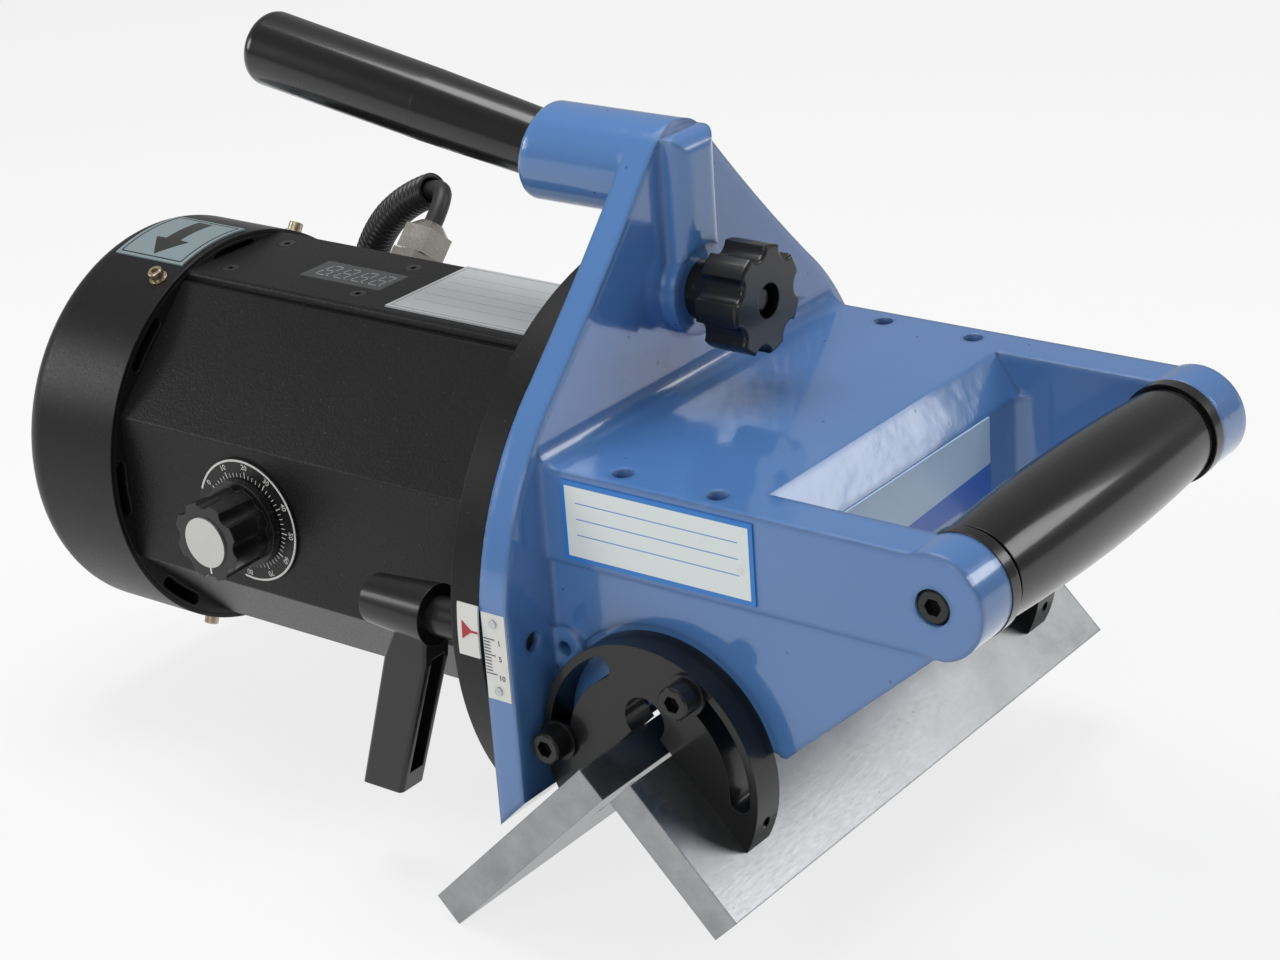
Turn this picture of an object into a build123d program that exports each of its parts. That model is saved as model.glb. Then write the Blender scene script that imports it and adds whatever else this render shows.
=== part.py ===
from build123d import *
import math
import os

os.makedirs("parts", exist_ok=True)

# X runs from the motor to the front grip, Y along the guide bars and Z up.
# The origin is under the middle of the machine, level with the guide's lowest edge.

# Guide bars and the V that they make
guide_length = 270.0
long_bar_width = 110.0
short_bar_width = 62.6
bar_thickness = 14.0
bar_apex_gap = 2.4
v_half_angle = 45.0
cutter_notch_length = 26.0
cutter_notch_half_width = 36.0

# Places along X, measured from the apex of the V
plate_back_reach = 62.9
plate_thickness = 13.0
disc_thickness = 13.8
housing_length = 221.8
shroud_length = 58.0
grip_reach = 119.1
nose_radius = 20.0
first_hole_reach = 17.9
hole_spacing_x = 42.4
hole_spacing_y = 176.8
apron_reach = 51.1
apron_band_length = 11.0
apron_band_drop = 16.0
apron_thickness = 11.0
apron_corner_radius = 8.0

# Heights above the apex
top_height = 107.2
motor_height = 40.2
handle_height = 193.0
star_height = 146.2
grip_drop = 18.0
arm_depth = 38.0

# Casting
body_half_width = 98.0
wall_thickness = 16.0
arm_thickness = 19.3
top_thickness = 15.0
cavity_corner_radius = 10.0
relief_drop = 37.5
relief_depth = 2.0
pad_depth = 1.0
wall_corner_reach = 53.6
wall_corner_height = 11.8
bar_clearance = 5.2
plate_flat_trim = 1.5
foot_inner_half_width = 94.0
plate_bottom_drop = 62.0
web_edge_hollow = 1.5
foot_fillet = 8.0
column_half_width = 12.5
column_front_gap = 10.0
column_edge_fillet = 7.0
star_boss_radius = 18.5
star_boss_height = 7.0
side_boss_radius = 9.0
side_hole_reach = 44.9
side_hole_height = 33.2
spindle_opening_radius = 48.0
thread_depth = 20.0

# Common fasteners
m8_radius = 4.0
m6_radius = 3.0
m5_radius = 2.5
m4_radius = 2.0
m3_radius = 1.5
thread_clearance = 0.05
running_clearance = 0.05
slide_clearance = 0.1
bore_clearance = 0.25
head_share = 1.625
socket_share = 0.75
washer_share = 2.05
washer_thickness = 1.6

# Handles
boss_radius = 20.0
boss_length = 52.0
boss_end_fillet = 3.5
handle_tilt = 9.5
handle_root_reach = 107.4
handle_face_distance = 8.0
collar_length = 59.0
collar_start_radius = 13.75
collar_end_radius = 15.25
rear_grip_length = 92.6
rear_grip_radius = 16.0
rear_grip_rounding = 6.0
handle_rod_radius = 6.0
handle_rod_grip_share = 0.75
handle_rod_boss_depth = 30.0
front_grip_middle_radius = 21.5
front_grip_end_radius = 19.0
front_grip_bead_radius = 20.3
front_grip_bead_length = 5.5
front_grip_groove_length = 3.0
front_grip_groove_radius = 17.8
m8_screw_length = 30.0

# Sector plates
sector_gap = 0.5
sector_thickness = 14.0
sector_foot_width = 50.0
sector_foot_height = 14.0
slot_radius = 41.5
slot_width = 9.0
front_slot_angles = (-4.0, 64.0)
rear_slot_angles = (118.0, 184.0)
front_screw_angle = 60.0
rear_screw_angle = 179.0
sector_relief_radius = 9.0
rim_hole_radius = 2.1
rim_hole_depth = 6.0
rim_hole_angle = -15.0
bar_screw_shares = (0.4, 0.84)
bar_screw_length = 22.0

# Flange disc and its swing
disc_radius = 125.0
disc_flat_drop = 62.0
pivot_reach = 110.0
pivot_radius = 6.0
pivot_head_radius = 9.0
pivot_head_height = 4.0
swing_range = 3.2
nose_boss_radius = 36.0
nose_boss_length = 12.0
star_stud_radius = 4.0
clamp_stud_radius = 4.0
clamp_stud_skin = 3.0
stud_head_thickness = 4.0
stud_head_radius = 8.0

# Star knob
star_collar_radius = 12.0
star_collar_length = 12.0
star_knob_length = 19.0
star_lobe_count = 7
star_outer_radius = 21.7
star_waist_radius = 18.0
star_flute_radius = 5.5
star_recess_radius = 7.0
star_recess_depth = 6.0
star_edge_fillet = 1.5

# Clamping lever
lever_hub_radius = 12.5
lever_hub_length = 32.0
lever_hub_end_radius = 10.0
lever_insert_radius = 8.0
lever_spacer_length = 20.0
lever_bore_depth = 12.0
lever_arm_length = 82.0
lever_arm_root_width = 15.0
lever_arm_tip_width = 14.0
lever_arm_root_depth = 22.0
lever_arm_tip_depth = 21.0
lever_arm_setback = 7.0
lever_root_share = 0.25
lever_arm_rounding = 2.0
lever_arm_bend = 27.0
lever_slot_wall = 3.0
lever_slot_depth = 7.0
lever_button_length = 5.0
lever_lift = 4.0
spring_radius = 6.5
spring_wall = 1.5

# Motor
octagon_apothem = 79.0
octagon_sides = 8
stator_radius = 66.0
stator_length = 90.0
stator_bore_radius = 36.5
winding_length = 22.0
winding_radius = 58.0
winding_bore_radius = 40.0
rotor_radius = 36.0
rotor_length = 92.0
rotor_back_gap = 62.0
shaft_radius = 12.5
seat_radius = 10.0
front_bearing_radius = 26.0
front_bearing_length = 15.0
rear_bearing_radius = 20.0
rear_bearing_length = 12.0
rear_shaft_radius = 8.5
fan_shaft_radius = 7.0
bearing_plate_thickness = 16.0
housing_edge_fillet = 1.5
cooling_slot_radius = 83.0
cooling_slot_width = 5.0
cooling_slot_angle = 14.0
shroud_radius = 89.0
shroud_wall = 2.0
shroud_rounding = 13.0
fan_radius = 76.0
fan_hub_radius = 16.0
fan_blade_count = 7
fan_blade_thickness = 3.0
fan_plate_thickness = 3.0
fan_length = 20.0
fan_gap = 8.0
vent_rows = 4
vent_width = 5.0
vent_first_radius = 24.0
vent_pitch = 12.0
vent_bridge_angle = 16.0
vent_slots = 5
shroud_screw_angles = (58.0, 115.0, 248.0, 292.0)
shroud_screw_setback = 9.5
shroud_screw_length = 8.0
spot_face_depth = 0.15

# Control cover, display and plates
cover_half_width = 30.0
cover_height = 4.0
cover_edge_fillet = 2.0
cover_pocket_depth = 8.0
cover_pocket_half_width = 14.5
cover_screw_length = 10.0
wire_hole_radius = 4.0
cover_pocket_margin = 20.0
display_start = 127.2
display_length = 45.6
display_low_y = -11.0
display_width = 19.5
display_thickness = 1.6
type_plate_start = 34.2
type_plate_length = 77.0
type_plate_low_y = -25.0
type_plate_width = 53.0
plate_skin = 0.8
board_thickness = 1.6
board_margin = 1.0
standoff_radius = 2.0
display_module_height = 5.5
standoff_height = 3.0
cover_screw_starts = (132.7, 206.7)
cover_screw_half_spacing = 17.8

# Speed dial
dial_from_disc = 150.2
dial_radius = 27.5
dial_thickness = 1.2
pot_radius = 8.0
pot_depth = 9.0
pot_shaft_radius = 3.0
pot_shaft_length = 16.0
pot_bore_depth = 6.0
knob_skirt_radius = 19.0
knob_body_radius = 16.5
knob_top_radius = 17.2
knob_skirt_height = 4.0
knob_height = 24.0
knob_flute_count = 8
knob_flute_radius = 4.5
knob_cap_radius = 11.0
knob_cap_recess = 1.0
knob_gap = 0.6

# Cutter
cutter_radius = 40.0
cutter_body_radius = 37.0
cutter_width = 20.0
insert_count = 6
insert_length = 12.0
insert_thickness = 4.0
insert_depth = 9.0
gullet_width = 7.0
cutter_washer_radius = 14.0
cutter_washer_thickness = 3.0
cutter_bolt_length = 25.0
seat_shortfall = 1.0
shoulder_radius = 14.0
shoulder_length = 6.0
rotor_seat_radius = 15.0

# Gland and cord
gland_flats = 22.0
gland_collar_height = 5.0
gland_body_height = 9.0
gland_nut_height = 12.0
gland_dome_height = 5.0
gland_lip = 1.5
gland_nut_turn = 12.0
gland_stem_radius = 9.0
gland_from_disc = 174.2
cable_radius = 4.3
conduit_radius = 8.0
conduit_bore_radius = 5.9
conduit_groove = 0.9
conduit_pitch = 3.0
conduit_crest = 0.8
conduit_slope = 0.7
rib_overlap = 0.3
bend_share = 0.45
# Cord route, each point measured from the middle of the gland's foot
cord_route = (
    (0.0, 31.82, 31.82),
    (-9.5, 39.7, 33.9),
    (-31.6, 40.7, 23.4),
    (-49.0, 41.6, 9.1),
    (-64.0, 44.6, -12.4),
    (-69.6, 49.6, -40.9),
    (-70.0, 54.1, -68.9),
    (-68.0, 57.1, -96.9),
    (-56.0, 60.1, -120.9),
    (-36.0, 62.6, -137.9),
)
corner_count_before_conduit = 2
corner_count_to_conduit_end = 7
conduit_mouth_gap = 9.5
conduit_tail_gap = 4.0
coil_run_in = 18.4
plug_reach = 63.0
lead_first_run = 16.0
lead_last_run = 16.0
coil_offset_x = 17.0
coil_center_y = 182.0
coil_turns_per_layer = 3
coil_layers = 4
coil_middle_radius = 48.0
coil_turn_gap = 0.5
plug_body_length = 34.0
plug_half_width = 18.0
plug_height = 24.0
plug_boot_length = 19.0
plug_boot_radius = 7.0
plug_rounding = 5.0
pin_radius = 2.4
pin_length = 19.0
pin_spacing = 19.0

# Labels and scale
scale_length = 36.0
scale_width = 11.0
scale_top_height = 56.2
rivet_radius = 1.7
rivet_inset = 4.0
rivet_height = 0.8
pointer_width = 10.0
pointer_length = 21.0
pointer_top_height = 57.8
side_label_start = 39.9
side_label_length = 86.0
side_label_width = 32.2
side_label_drop = 2.6
apron_label_half_width = 54.0
apron_label_height = 31.5
apron_label_drop = 0.5
arrow_plate_angles = (83.0, 109.0)
arrow_plate_length = 41.0
arrow_plate_setback = 3.0

overrun = 2.0

# Everything below follows from the sizes above
rear_reach = plate_back_reach + disc_thickness + housing_length + shroud_length
front_reach = grip_reach + nose_radius
apex_x = (rear_reach - front_reach) / 2
apex_z = (bar_apex_gap + long_bar_width) * math.cos(math.radians(v_half_angle))
top_z = apex_z + top_height
motor_z = apex_z + motor_height
handle_z = apex_z + handle_height
star_z = apex_z + star_height
grip_x = apex_x + grip_reach
grip_z = top_z - grip_drop
arm_bottom_z = top_z - arm_depth
plate_back_x = apex_x - plate_back_reach
plate_front_x = plate_back_x + plate_thickness
disc_back_x = plate_back_x - disc_thickness
housing_back_x = disc_back_x - housing_length
shroud_back_x = housing_back_x - shroud_length
apron_x = apex_x + apron_reach
apron_top_x = apron_x - apron_band_length
apron_inner_x = apron_top_x - apron_thickness
arm_inner_half_width = body_half_width - arm_thickness
cavity_half_width = body_half_width - wall_thickness
throat_radius = bar_thickness + bar_clearance
relief_z = top_z - relief_drop
wall_face_y = body_half_width - relief_depth
seat_y = wall_face_y - pad_depth
sector_inner_y = seat_y + slide_clearance
sector_outer_y = sector_inner_y + sector_thickness
half_guide = guide_length / 2
sector_radius = plate_back_reach - plate_thickness - sector_gap
pad_radius = math.hypot(sector_foot_width, sector_foot_height) + sector_gap
column_front_x = plate_front_x + column_front_gap
star_face_x = plate_front_x + star_boss_height
hole_x = apex_x - first_hole_reach
side_hole_x = apex_x - side_hole_reach
side_hole_z = apex_z + side_hole_height


def along(origin, direction, distance):
    """Point at a distance from an origin along a unit direction."""
    return tuple(o + d * distance for o, d in zip(origin, direction))


def guide_point(angle, along_bar, off_bar, side):
    """Point in the XZ plane from its distances along and off a bar's inner face."""
    turn = math.radians(angle)
    x = apex_x + along_bar * math.cos(turn) - side * off_bar * math.sin(turn)
    z = apex_z + along_bar * math.sin(turn) + side * off_bar * math.cos(turn)
    return (x, z)


def cap_screw(radius, length):
    """Socket cap screw with its head on +Z and its seat at the origin."""
    head_radius = head_share * radius
    head_height = 2 * radius
    with BuildPart() as screw:
        Cylinder(head_radius, head_height, align=(Align.CENTER, Align.CENTER, Align.MIN))
        chamfer(screw.edges().group_by(Axis.Z)[-1], head_height / 10)
        Cylinder(radius, length, align=(Align.CENTER, Align.CENTER, Align.MAX))
        with BuildSketch(Plane.XY.offset(head_height)) as socket:
            RegularPolygon(socket_share * radius * 2 / math.sqrt(3), 6)
        extrude(amount=-head_height / 2, mode=Mode.SUBTRACT)
    return screw.part


def countersunk_screw(radius, length):
    """Countersunk screw with its flat face on the origin and its shank down -Z."""
    head_radius = 2 * radius
    with BuildPart() as screw:
        with BuildSketch(Plane.XZ) as half:
            with BuildLine():
                Polyline(
                    (0, 0),
                    (head_radius, 0),
                    (radius, radius - head_radius),
                    (radius, -length),
                    (0, -length),
                    close=True,
                )
            make_face()
        revolve(axis=Axis.Z)
        with BuildSketch(Plane.XY) as socket:
            RegularPolygon(radius * socket_share, 6)
        extrude(amount=-radius, mode=Mode.SUBTRACT)
    return screw.part


def ring_plane(angle, radius, x):
    """Plane whose normal points out of the motor axis at an angle from +Y."""
    turn = math.radians(angle)
    outward = (0, math.cos(turn), math.sin(turn))
    origin = (x, radius * outward[1], motor_z + radius * outward[2])
    return Plane(origin=origin, x_dir=(1, 0, 0), z_dir=outward)


# Angles of the two bars, seen from the near side
long_bar_angle = 180 + v_half_angle
short_bar_angle = -v_half_angle
slope = math.sqrt(2)

# Main casting
corner_distance = math.hypot(wall_corner_reach, wall_corner_height)
corner_angle = math.degrees(math.atan2(wall_corner_height, wall_corner_reach))
throat_start = corner_angle + math.degrees(math.acos(throat_radius / corner_distance))
throat_end = long_bar_angle - 90
tip_z = apex_z - plate_back_reach + throat_radius * slope
front_tip_z = tip_z + plate_thickness

boss_distance = handle_z - motor_z
tangent_lift = (disc_radius - boss_radius) / boss_distance
tangent_side = math.sqrt(1 - tangent_lift**2)
web_low = (disc_radius * tangent_side, motor_z + disc_radius * tangent_lift)
web_high = (boss_radius * tangent_side, handle_z + boss_radius * tangent_lift)
flat_half_width = disc_radius - plate_flat_trim
front_screw = (
    apex_x + slot_radius * math.cos(math.radians(front_screw_angle)),
    apex_z + slot_radius * math.sin(math.radians(front_screw_angle)),
)
rear_screw = (
    apex_x + slot_radius * math.cos(math.radians(rear_screw_angle)),
    apex_z + slot_radius * math.sin(math.radians(rear_screw_angle)),
)
tilt = math.radians(handle_tilt)
handle_axis = (-math.cos(tilt), 0, math.sin(tilt))
handle_root = (apex_x - handle_root_reach, 0, handle_z)
handle_face = along(handle_root, handle_axis, handle_face_distance)
handle_plane = Plane(origin=handle_face, x_dir=(0, 1, 0), z_dir=handle_axis)

with BuildPart() as main_casting:
    # Body: side outline from the plate to the nose, over the full width
    with BuildSketch(Plane.XZ):
        with BuildLine():
            body_line = Polyline(
                (
                    apex_x + throat_radius * math.cos(math.radians(throat_end)),
                    apex_z + throat_radius * math.sin(math.radians(throat_end)),
                ),
                (plate_back_x, tip_z),
                (plate_back_x, top_z),
                (grip_x, top_z),
                (grip_x, arm_bottom_z),
                (apex_x + wall_corner_reach, apex_z + wall_corner_height),
                (
                    apex_x + throat_radius * math.cos(math.radians(throat_start)),
                    apex_z + throat_radius * math.sin(math.radians(throat_start)),
                ),
            )
            CenterArc((apex_x, apex_z), throat_radius, throat_start, throat_end - throat_start)
        make_face()
        with Locations((grip_x, grip_z)):
            Circle(nose_radius)
    extrude(amount=body_half_width, both=True)
    # Pocket between the arms, with rounded corners under the sloping band
    with BuildSketch(Plane.XY.offset(top_z - apron_band_drop)):
        with BuildLine():
            far_x = grip_x + nose_radius + overrun
            Polyline(
                (far_x, -arm_inner_half_width),
                (apron_x, -arm_inner_half_width),
                (apron_x, arm_inner_half_width),
                (far_x, arm_inner_half_width),
                close=True,
            )
        make_face()
        pocket_corners = vertices().group_by(Axis.X)[0]
        fillet(pocket_corners, apron_corner_radius)
    extrude(amount=-(top_height + apex_z), mode=Mode.SUBTRACT)
    with BuildSketch(Plane.XZ):
        with BuildLine():
            Polyline(
                (apron_top_x, top_z),
                (apron_x, top_z - apron_band_drop),
                (grip_x + nose_radius + overrun, top_z - apron_band_drop),
                (grip_x + nose_radius + overrun, top_z + nose_radius),
                (apron_top_x, top_z + nose_radius),
                close=True,
            )
        make_face()
    extrude(amount=arm_inner_half_width, both=True, mode=Mode.SUBTRACT)
    # Upright plate with its two feet, and the boss of the rear handle
    with BuildSketch(Plane.YZ.offset(plate_back_x)):
        with Locations((0, motor_z)):
            Circle(disc_radius)
        with Locations((0, (tip_z + motor_z) / 2)):
            Rectangle(2 * flat_half_width, motor_z - tip_z)
        for side in (-1, 1):
            with Locations((side * (flat_half_width + disc_radius / 2), motor_z - disc_radius / 2)):
                Rectangle(
                    disc_radius, disc_radius + 2 * (scale_top_height - motor_height), mode=Mode.SUBTRACT
                )
        with BuildLine():
            Line((-web_low[0], web_low[1]), (web_low[0], web_low[1]))
            SagittaArc(web_low, web_high, web_edge_hollow)
            Line(web_high, (-web_high[0], web_high[1]))
            SagittaArc((-web_high[0], web_high[1]), (-web_low[0], web_low[1]), web_edge_hollow)
        make_face()
        with Locations((0, handle_z)):
            Circle(boss_radius)
    extrude(amount=plate_thickness)
    # Room for the guide bars under the feet, and for the disc between them
    with BuildSketch(Plane.XZ):
        with BuildLine():
            Polyline(
                (plate_back_x - overrun, tip_z - overrun),
                (plate_front_x + overrun, front_tip_z + overrun),
                (plate_front_x + overrun, -overrun),
                (plate_back_x - overrun, -overrun),
                close=True,
            )
        make_face()
    extrude(amount=disc_radius + overrun, both=True, mode=Mode.SUBTRACT)
    with BuildSketch(Plane.YZ.offset(plate_back_x - overrun)):
        with Locations((0, motor_z - plate_bottom_drop)):
            Rectangle(2 * foot_inner_half_width, motor_z, align=(Align.CENTER, Align.MAX))
    extrude(amount=plate_thickness + overrun, mode=Mode.SUBTRACT)
    # Foot of the plate on the top face
    foot_edges = (
        edges()
        .filter_by(Axis.Y)
        .filter_by(lambda e: abs(e.center().X - plate_front_x) < 0.01 and abs(e.center().Z - top_z) < 0.01)
    )
    fillet(foot_edges, foot_fillet)
    # Column and star knob boss in front of the plate
    with BuildSketch(Plane.YZ.offset(plate_front_x)) as column_outline:
        with Locations((0, (star_z + handle_z) / 2)):
            Rectangle(2 * column_half_width, handle_z - star_z)
        with Locations((0, handle_z)):
            Rectangle(
                2 * column_half_width,
                math.sqrt(boss_radius**2 - column_half_width**2),
                align=(Align.CENTER, Align.MIN),
            )
    extrude(amount=column_front_gap)
    column_edges = edges().filter_by(
        lambda e: abs(e.center().X - column_front_x) < 0.01 and e.center().Z > star_z - star_boss_radius
    )
    fillet(column_edges, column_edge_fillet)
    with BuildSketch(Plane.YZ.offset(plate_front_x)):
        with Locations((0, star_z)):
            Circle(star_boss_radius)
    extrude(amount=star_boss_height)
    with BuildSketch(Plane.YZ.offset(star_face_x)):
        with Locations((0, star_z)):
            Circle(star_boss_radius)
    extrude(amount=column_front_gap, mode=Mode.SUBTRACT)
    # Handle boss behind the plate, its end square to the handle
    with BuildSketch(Plane.YZ.offset(plate_back_x)):
        with Locations((0, handle_z)):
            Circle(boss_radius)
    extrude(amount=-boss_length - boss_radius)
    with BuildSketch(handle_plane):
        Circle(3 * boss_radius)
    extrude(amount=3 * boss_radius, mode=Mode.SUBTRACT)
    boss_end = faces().sort_by(Axis.X)[0].edges()
    fillet(boss_end, boss_end_fillet)
    # Cavity round the cutter, open to the guide
    with BuildSketch(Plane.XZ):
        with BuildLine():
            Polyline(
                (plate_front_x, -overrun),
                (plate_front_x, top_z - top_thickness),
                (apron_inner_x, top_z - top_thickness),
                (apron_inner_x, -overrun),
                close=True,
            )
        make_face()
        cavity_corners = vertices().group_by(Axis.Y)[-1]
        fillet(cavity_corners, cavity_corner_radius)
    extrude(amount=cavity_half_width, both=True, mode=Mode.SUBTRACT)
    # Thinner lower walls and the round pads of the sector plates
    for side in (-1, 1):
        with BuildSketch(Plane.XZ.offset(side * body_half_width)):
            with BuildLine():
                Polyline(
                    (plate_front_x, -overrun),
                    (plate_front_x, relief_z),
                    (grip_x + nose_radius + overrun, relief_z),
                    (grip_x + nose_radius + overrun, -overrun),
                    close=True,
                )
            make_face()
        extrude(amount=-side * relief_depth, mode=Mode.SUBTRACT)
        with BuildSketch(Plane.XZ.offset(side * (half_guide + overrun))):
            with Locations((apex_x, apex_z)):
                Circle(pad_radius)
            with Locations((plate_front_x, apex_z)):
                Rectangle(2 * pad_radius, 2 * pad_radius, align=(Align.MAX, Align.CENTER), mode=Mode.SUBTRACT)
        extrude(amount=-side * (half_guide + overrun - seat_y), mode=Mode.SUBTRACT)
        # Boss of the threaded side hole, cut round by the sector plate's space
        with BuildSketch(Plane.XZ.offset(side * seat_y)):
            with Locations((side_hole_x, side_hole_z)):
                Circle(side_boss_radius)
        extrude(amount=side * (body_half_width - seat_y))
        with BuildSketch(Plane.XZ.offset(side * (half_guide + overrun))):
            with Locations((apex_x, apex_z)):
                Circle(sector_radius + sector_gap)
        extrude(amount=-side * (half_guide + overrun - seat_y), mode=Mode.SUBTRACT)
    # Opening of the spindle and holes of the disc's clamps
    with Locations(Plane.YZ.offset(plate_front_x)):
        with Locations((0, motor_z)):
            Hole(spindle_opening_radius, plate_thickness)
        with Locations((pivot_reach, motor_z)):
            Hole(pivot_radius + thread_clearance, plate_thickness)
    with Locations(Plane.YZ.offset(plate_front_x - clamp_stud_skin)):
        with Locations((-pivot_reach, motor_z)):
            Hole(clamp_stud_radius + running_clearance, plate_thickness)
    # Space for the head of the disc's pivot pin
    pivot_space = pivot_head_height + slide_clearance
    with Locations(Plane.YZ.offset(plate_front_x + pivot_space)):
        with Locations((pivot_reach, motor_z)):
            Hole(pivot_head_radius + slide_clearance, pivot_space)
    with Locations(Plane.YZ.offset(star_face_x)):
        with Locations((0, star_z)):
            Hole(star_stud_radius + bore_clearance, star_boss_height + plate_thickness)
    # Threaded holes of the top face
    with Locations(Plane.XY.offset(top_z)):
        for column in (0, 1):
            with Locations(
                (hole_x + column * hole_spacing_x, -hole_spacing_y / 2),
                (hole_x + column * hole_spacing_x, hole_spacing_y / 2),
            ):
                Hole(m8_radius, thread_depth)
    for side in (-1, 1):
        # Slot screws, side hole and the counterbored screws of the front grip
        with Locations(Plane(origin=(0, -side * body_half_width, 0), x_dir=(1, 0, 0), z_dir=(0, -side, 0))):
            with Locations((side_hole_x, side * side_hole_z)):
                Hole(m6_radius, wall_thickness - relief_depth)
            with Locations((front_screw[0], side * front_screw[1]), (rear_screw[0], side * rear_screw[1])):
                Hole(m8_radius + thread_clearance, wall_thickness + overrun)
            with Locations((grip_x, side * grip_z)):
                CounterBoreHole(
                    m8_radius + bore_clearance,
                    m8_radius * head_share + bore_clearance * 2,
                    2 * m8_radius + bore_clearance,
                    arm_thickness,
                )
    # Bore of the rear handle's rod
    with BuildSketch(handle_plane):
        Circle(handle_rod_radius + thread_clearance)
    extrude(amount=-handle_rod_boss_depth, mode=Mode.SUBTRACT)


def keep(piece, name):
    """Label a finished piece and write it."""
    piece.part.label = name
    export_step(piece.part, "parts/" + name + ".step")


keep(main_casting, "main_casting")

# Rear handle
with BuildPart() as rear_handle_collar:
    with Locations(handle_plane):
        Cone(
            collar_start_radius,
            collar_end_radius,
            collar_length,
            align=(Align.CENTER, Align.CENTER, Align.MIN),
        )
        Cylinder(
            handle_rod_radius + thread_clearance,
            collar_length,
            align=(Align.CENTER, Align.CENTER, Align.MIN),
            mode=Mode.SUBTRACT,
        )
keep(rear_handle_collar, "rear_handle_collar")

grip_plane = Plane(
    origin=along(handle_face, handle_axis, collar_length), x_dir=(0, 1, 0), z_dir=handle_axis
)
rod_grip_length = rear_grip_length * handle_rod_grip_share
with BuildPart() as rear_handle_grip:
    with Locations(grip_plane):
        Cone(
            collar_end_radius,
            rear_grip_radius,
            rear_grip_length,
            align=(Align.CENTER, Align.CENTER, Align.MIN),
        )
        fillet(rear_handle_grip.edges().sort_by(Axis.X)[0], rear_grip_rounding)
        Cylinder(
            handle_rod_radius + thread_clearance,
            rod_grip_length,
            align=(Align.CENTER, Align.CENTER, Align.MIN),
            mode=Mode.SUBTRACT,
        )
keep(rear_handle_grip, "rear_handle_grip")

rod_length = handle_rod_boss_depth + collar_length + rod_grip_length
with BuildPart() as rear_handle_rod:
    with Locations(handle_plane.offset(-handle_rod_boss_depth)):
        Cylinder(handle_rod_radius, rod_length, align=(Align.CENTER, Align.CENTER, Align.MIN))
keep(rear_handle_rod, "rear_handle_rod")

# Front grip between the arms
grip_axis = Axis((grip_x, 0, grip_z), (0, 1, 0))
grip_section = Plane(origin=(grip_x, 0, grip_z), x_dir=(0, 1, 0), z_dir=(1, 0, 0))
bead_end = arm_inner_half_width - front_grip_bead_length
groove_end = bead_end - front_grip_groove_length
screw_seat_y = body_half_width - 2 * m8_radius - bore_clearance
grip_thread_depth = arm_inner_half_width - screw_seat_y + m8_screw_length + overrun
with BuildPart() as front_grip:
    with BuildSketch(grip_section):
        with BuildLine():
            Polyline(
                (-groove_end, front_grip_end_radius),
                (-groove_end, front_grip_groove_radius),
                (-bead_end, front_grip_groove_radius),
                (-bead_end, front_grip_bead_radius),
                (-arm_inner_half_width, front_grip_bead_radius),
                (-arm_inner_half_width, 0),
                (arm_inner_half_width, 0),
                (arm_inner_half_width, front_grip_bead_radius),
                (bead_end, front_grip_bead_radius),
                (bead_end, front_grip_groove_radius),
                (groove_end, front_grip_groove_radius),
                (groove_end, front_grip_end_radius),
            )
            ThreePointArc(
                (groove_end, front_grip_end_radius),
                (0, front_grip_middle_radius),
                (-groove_end, front_grip_end_radius),
            )
        make_face()
    revolve(axis=grip_axis)
    for side in (-1, 1):
        end_plane = Plane(
            origin=(grip_x, side * arm_inner_half_width, grip_z), x_dir=(1, 0, 0), z_dir=(0, side, 0)
        )
        with Locations(end_plane):
            Hole(m8_radius + thread_clearance, grip_thread_depth)
keep(front_grip, "front_grip")

# Guide: two bars carried by two sector plates
def bar_plane(angle, side, along_bar, off_bar, y):
    """Plane on a bar's inner face that faces out of the bar, into the V."""
    turn = math.radians(angle)
    x, z = guide_point(angle, along_bar, off_bar, side)
    return Plane(origin=(x, y, z), x_dir=(0, 1, 0), z_dir=(side * math.sin(turn), 0, -side * math.cos(turn)))


sector_middle_y = sector_inner_y + sector_thickness / 2
front_slot_line = CenterArc(
    (apex_x, apex_z), slot_radius, front_slot_angles[0], front_slot_angles[1] - front_slot_angles[0]
)
rear_slot_line = CenterArc(
    (apex_x, apex_z), slot_radius, rear_slot_angles[0], rear_slot_angles[1] - rear_slot_angles[0]
)
bar_sides = ((long_bar_angle, -1), (short_bar_angle, 1))

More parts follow.
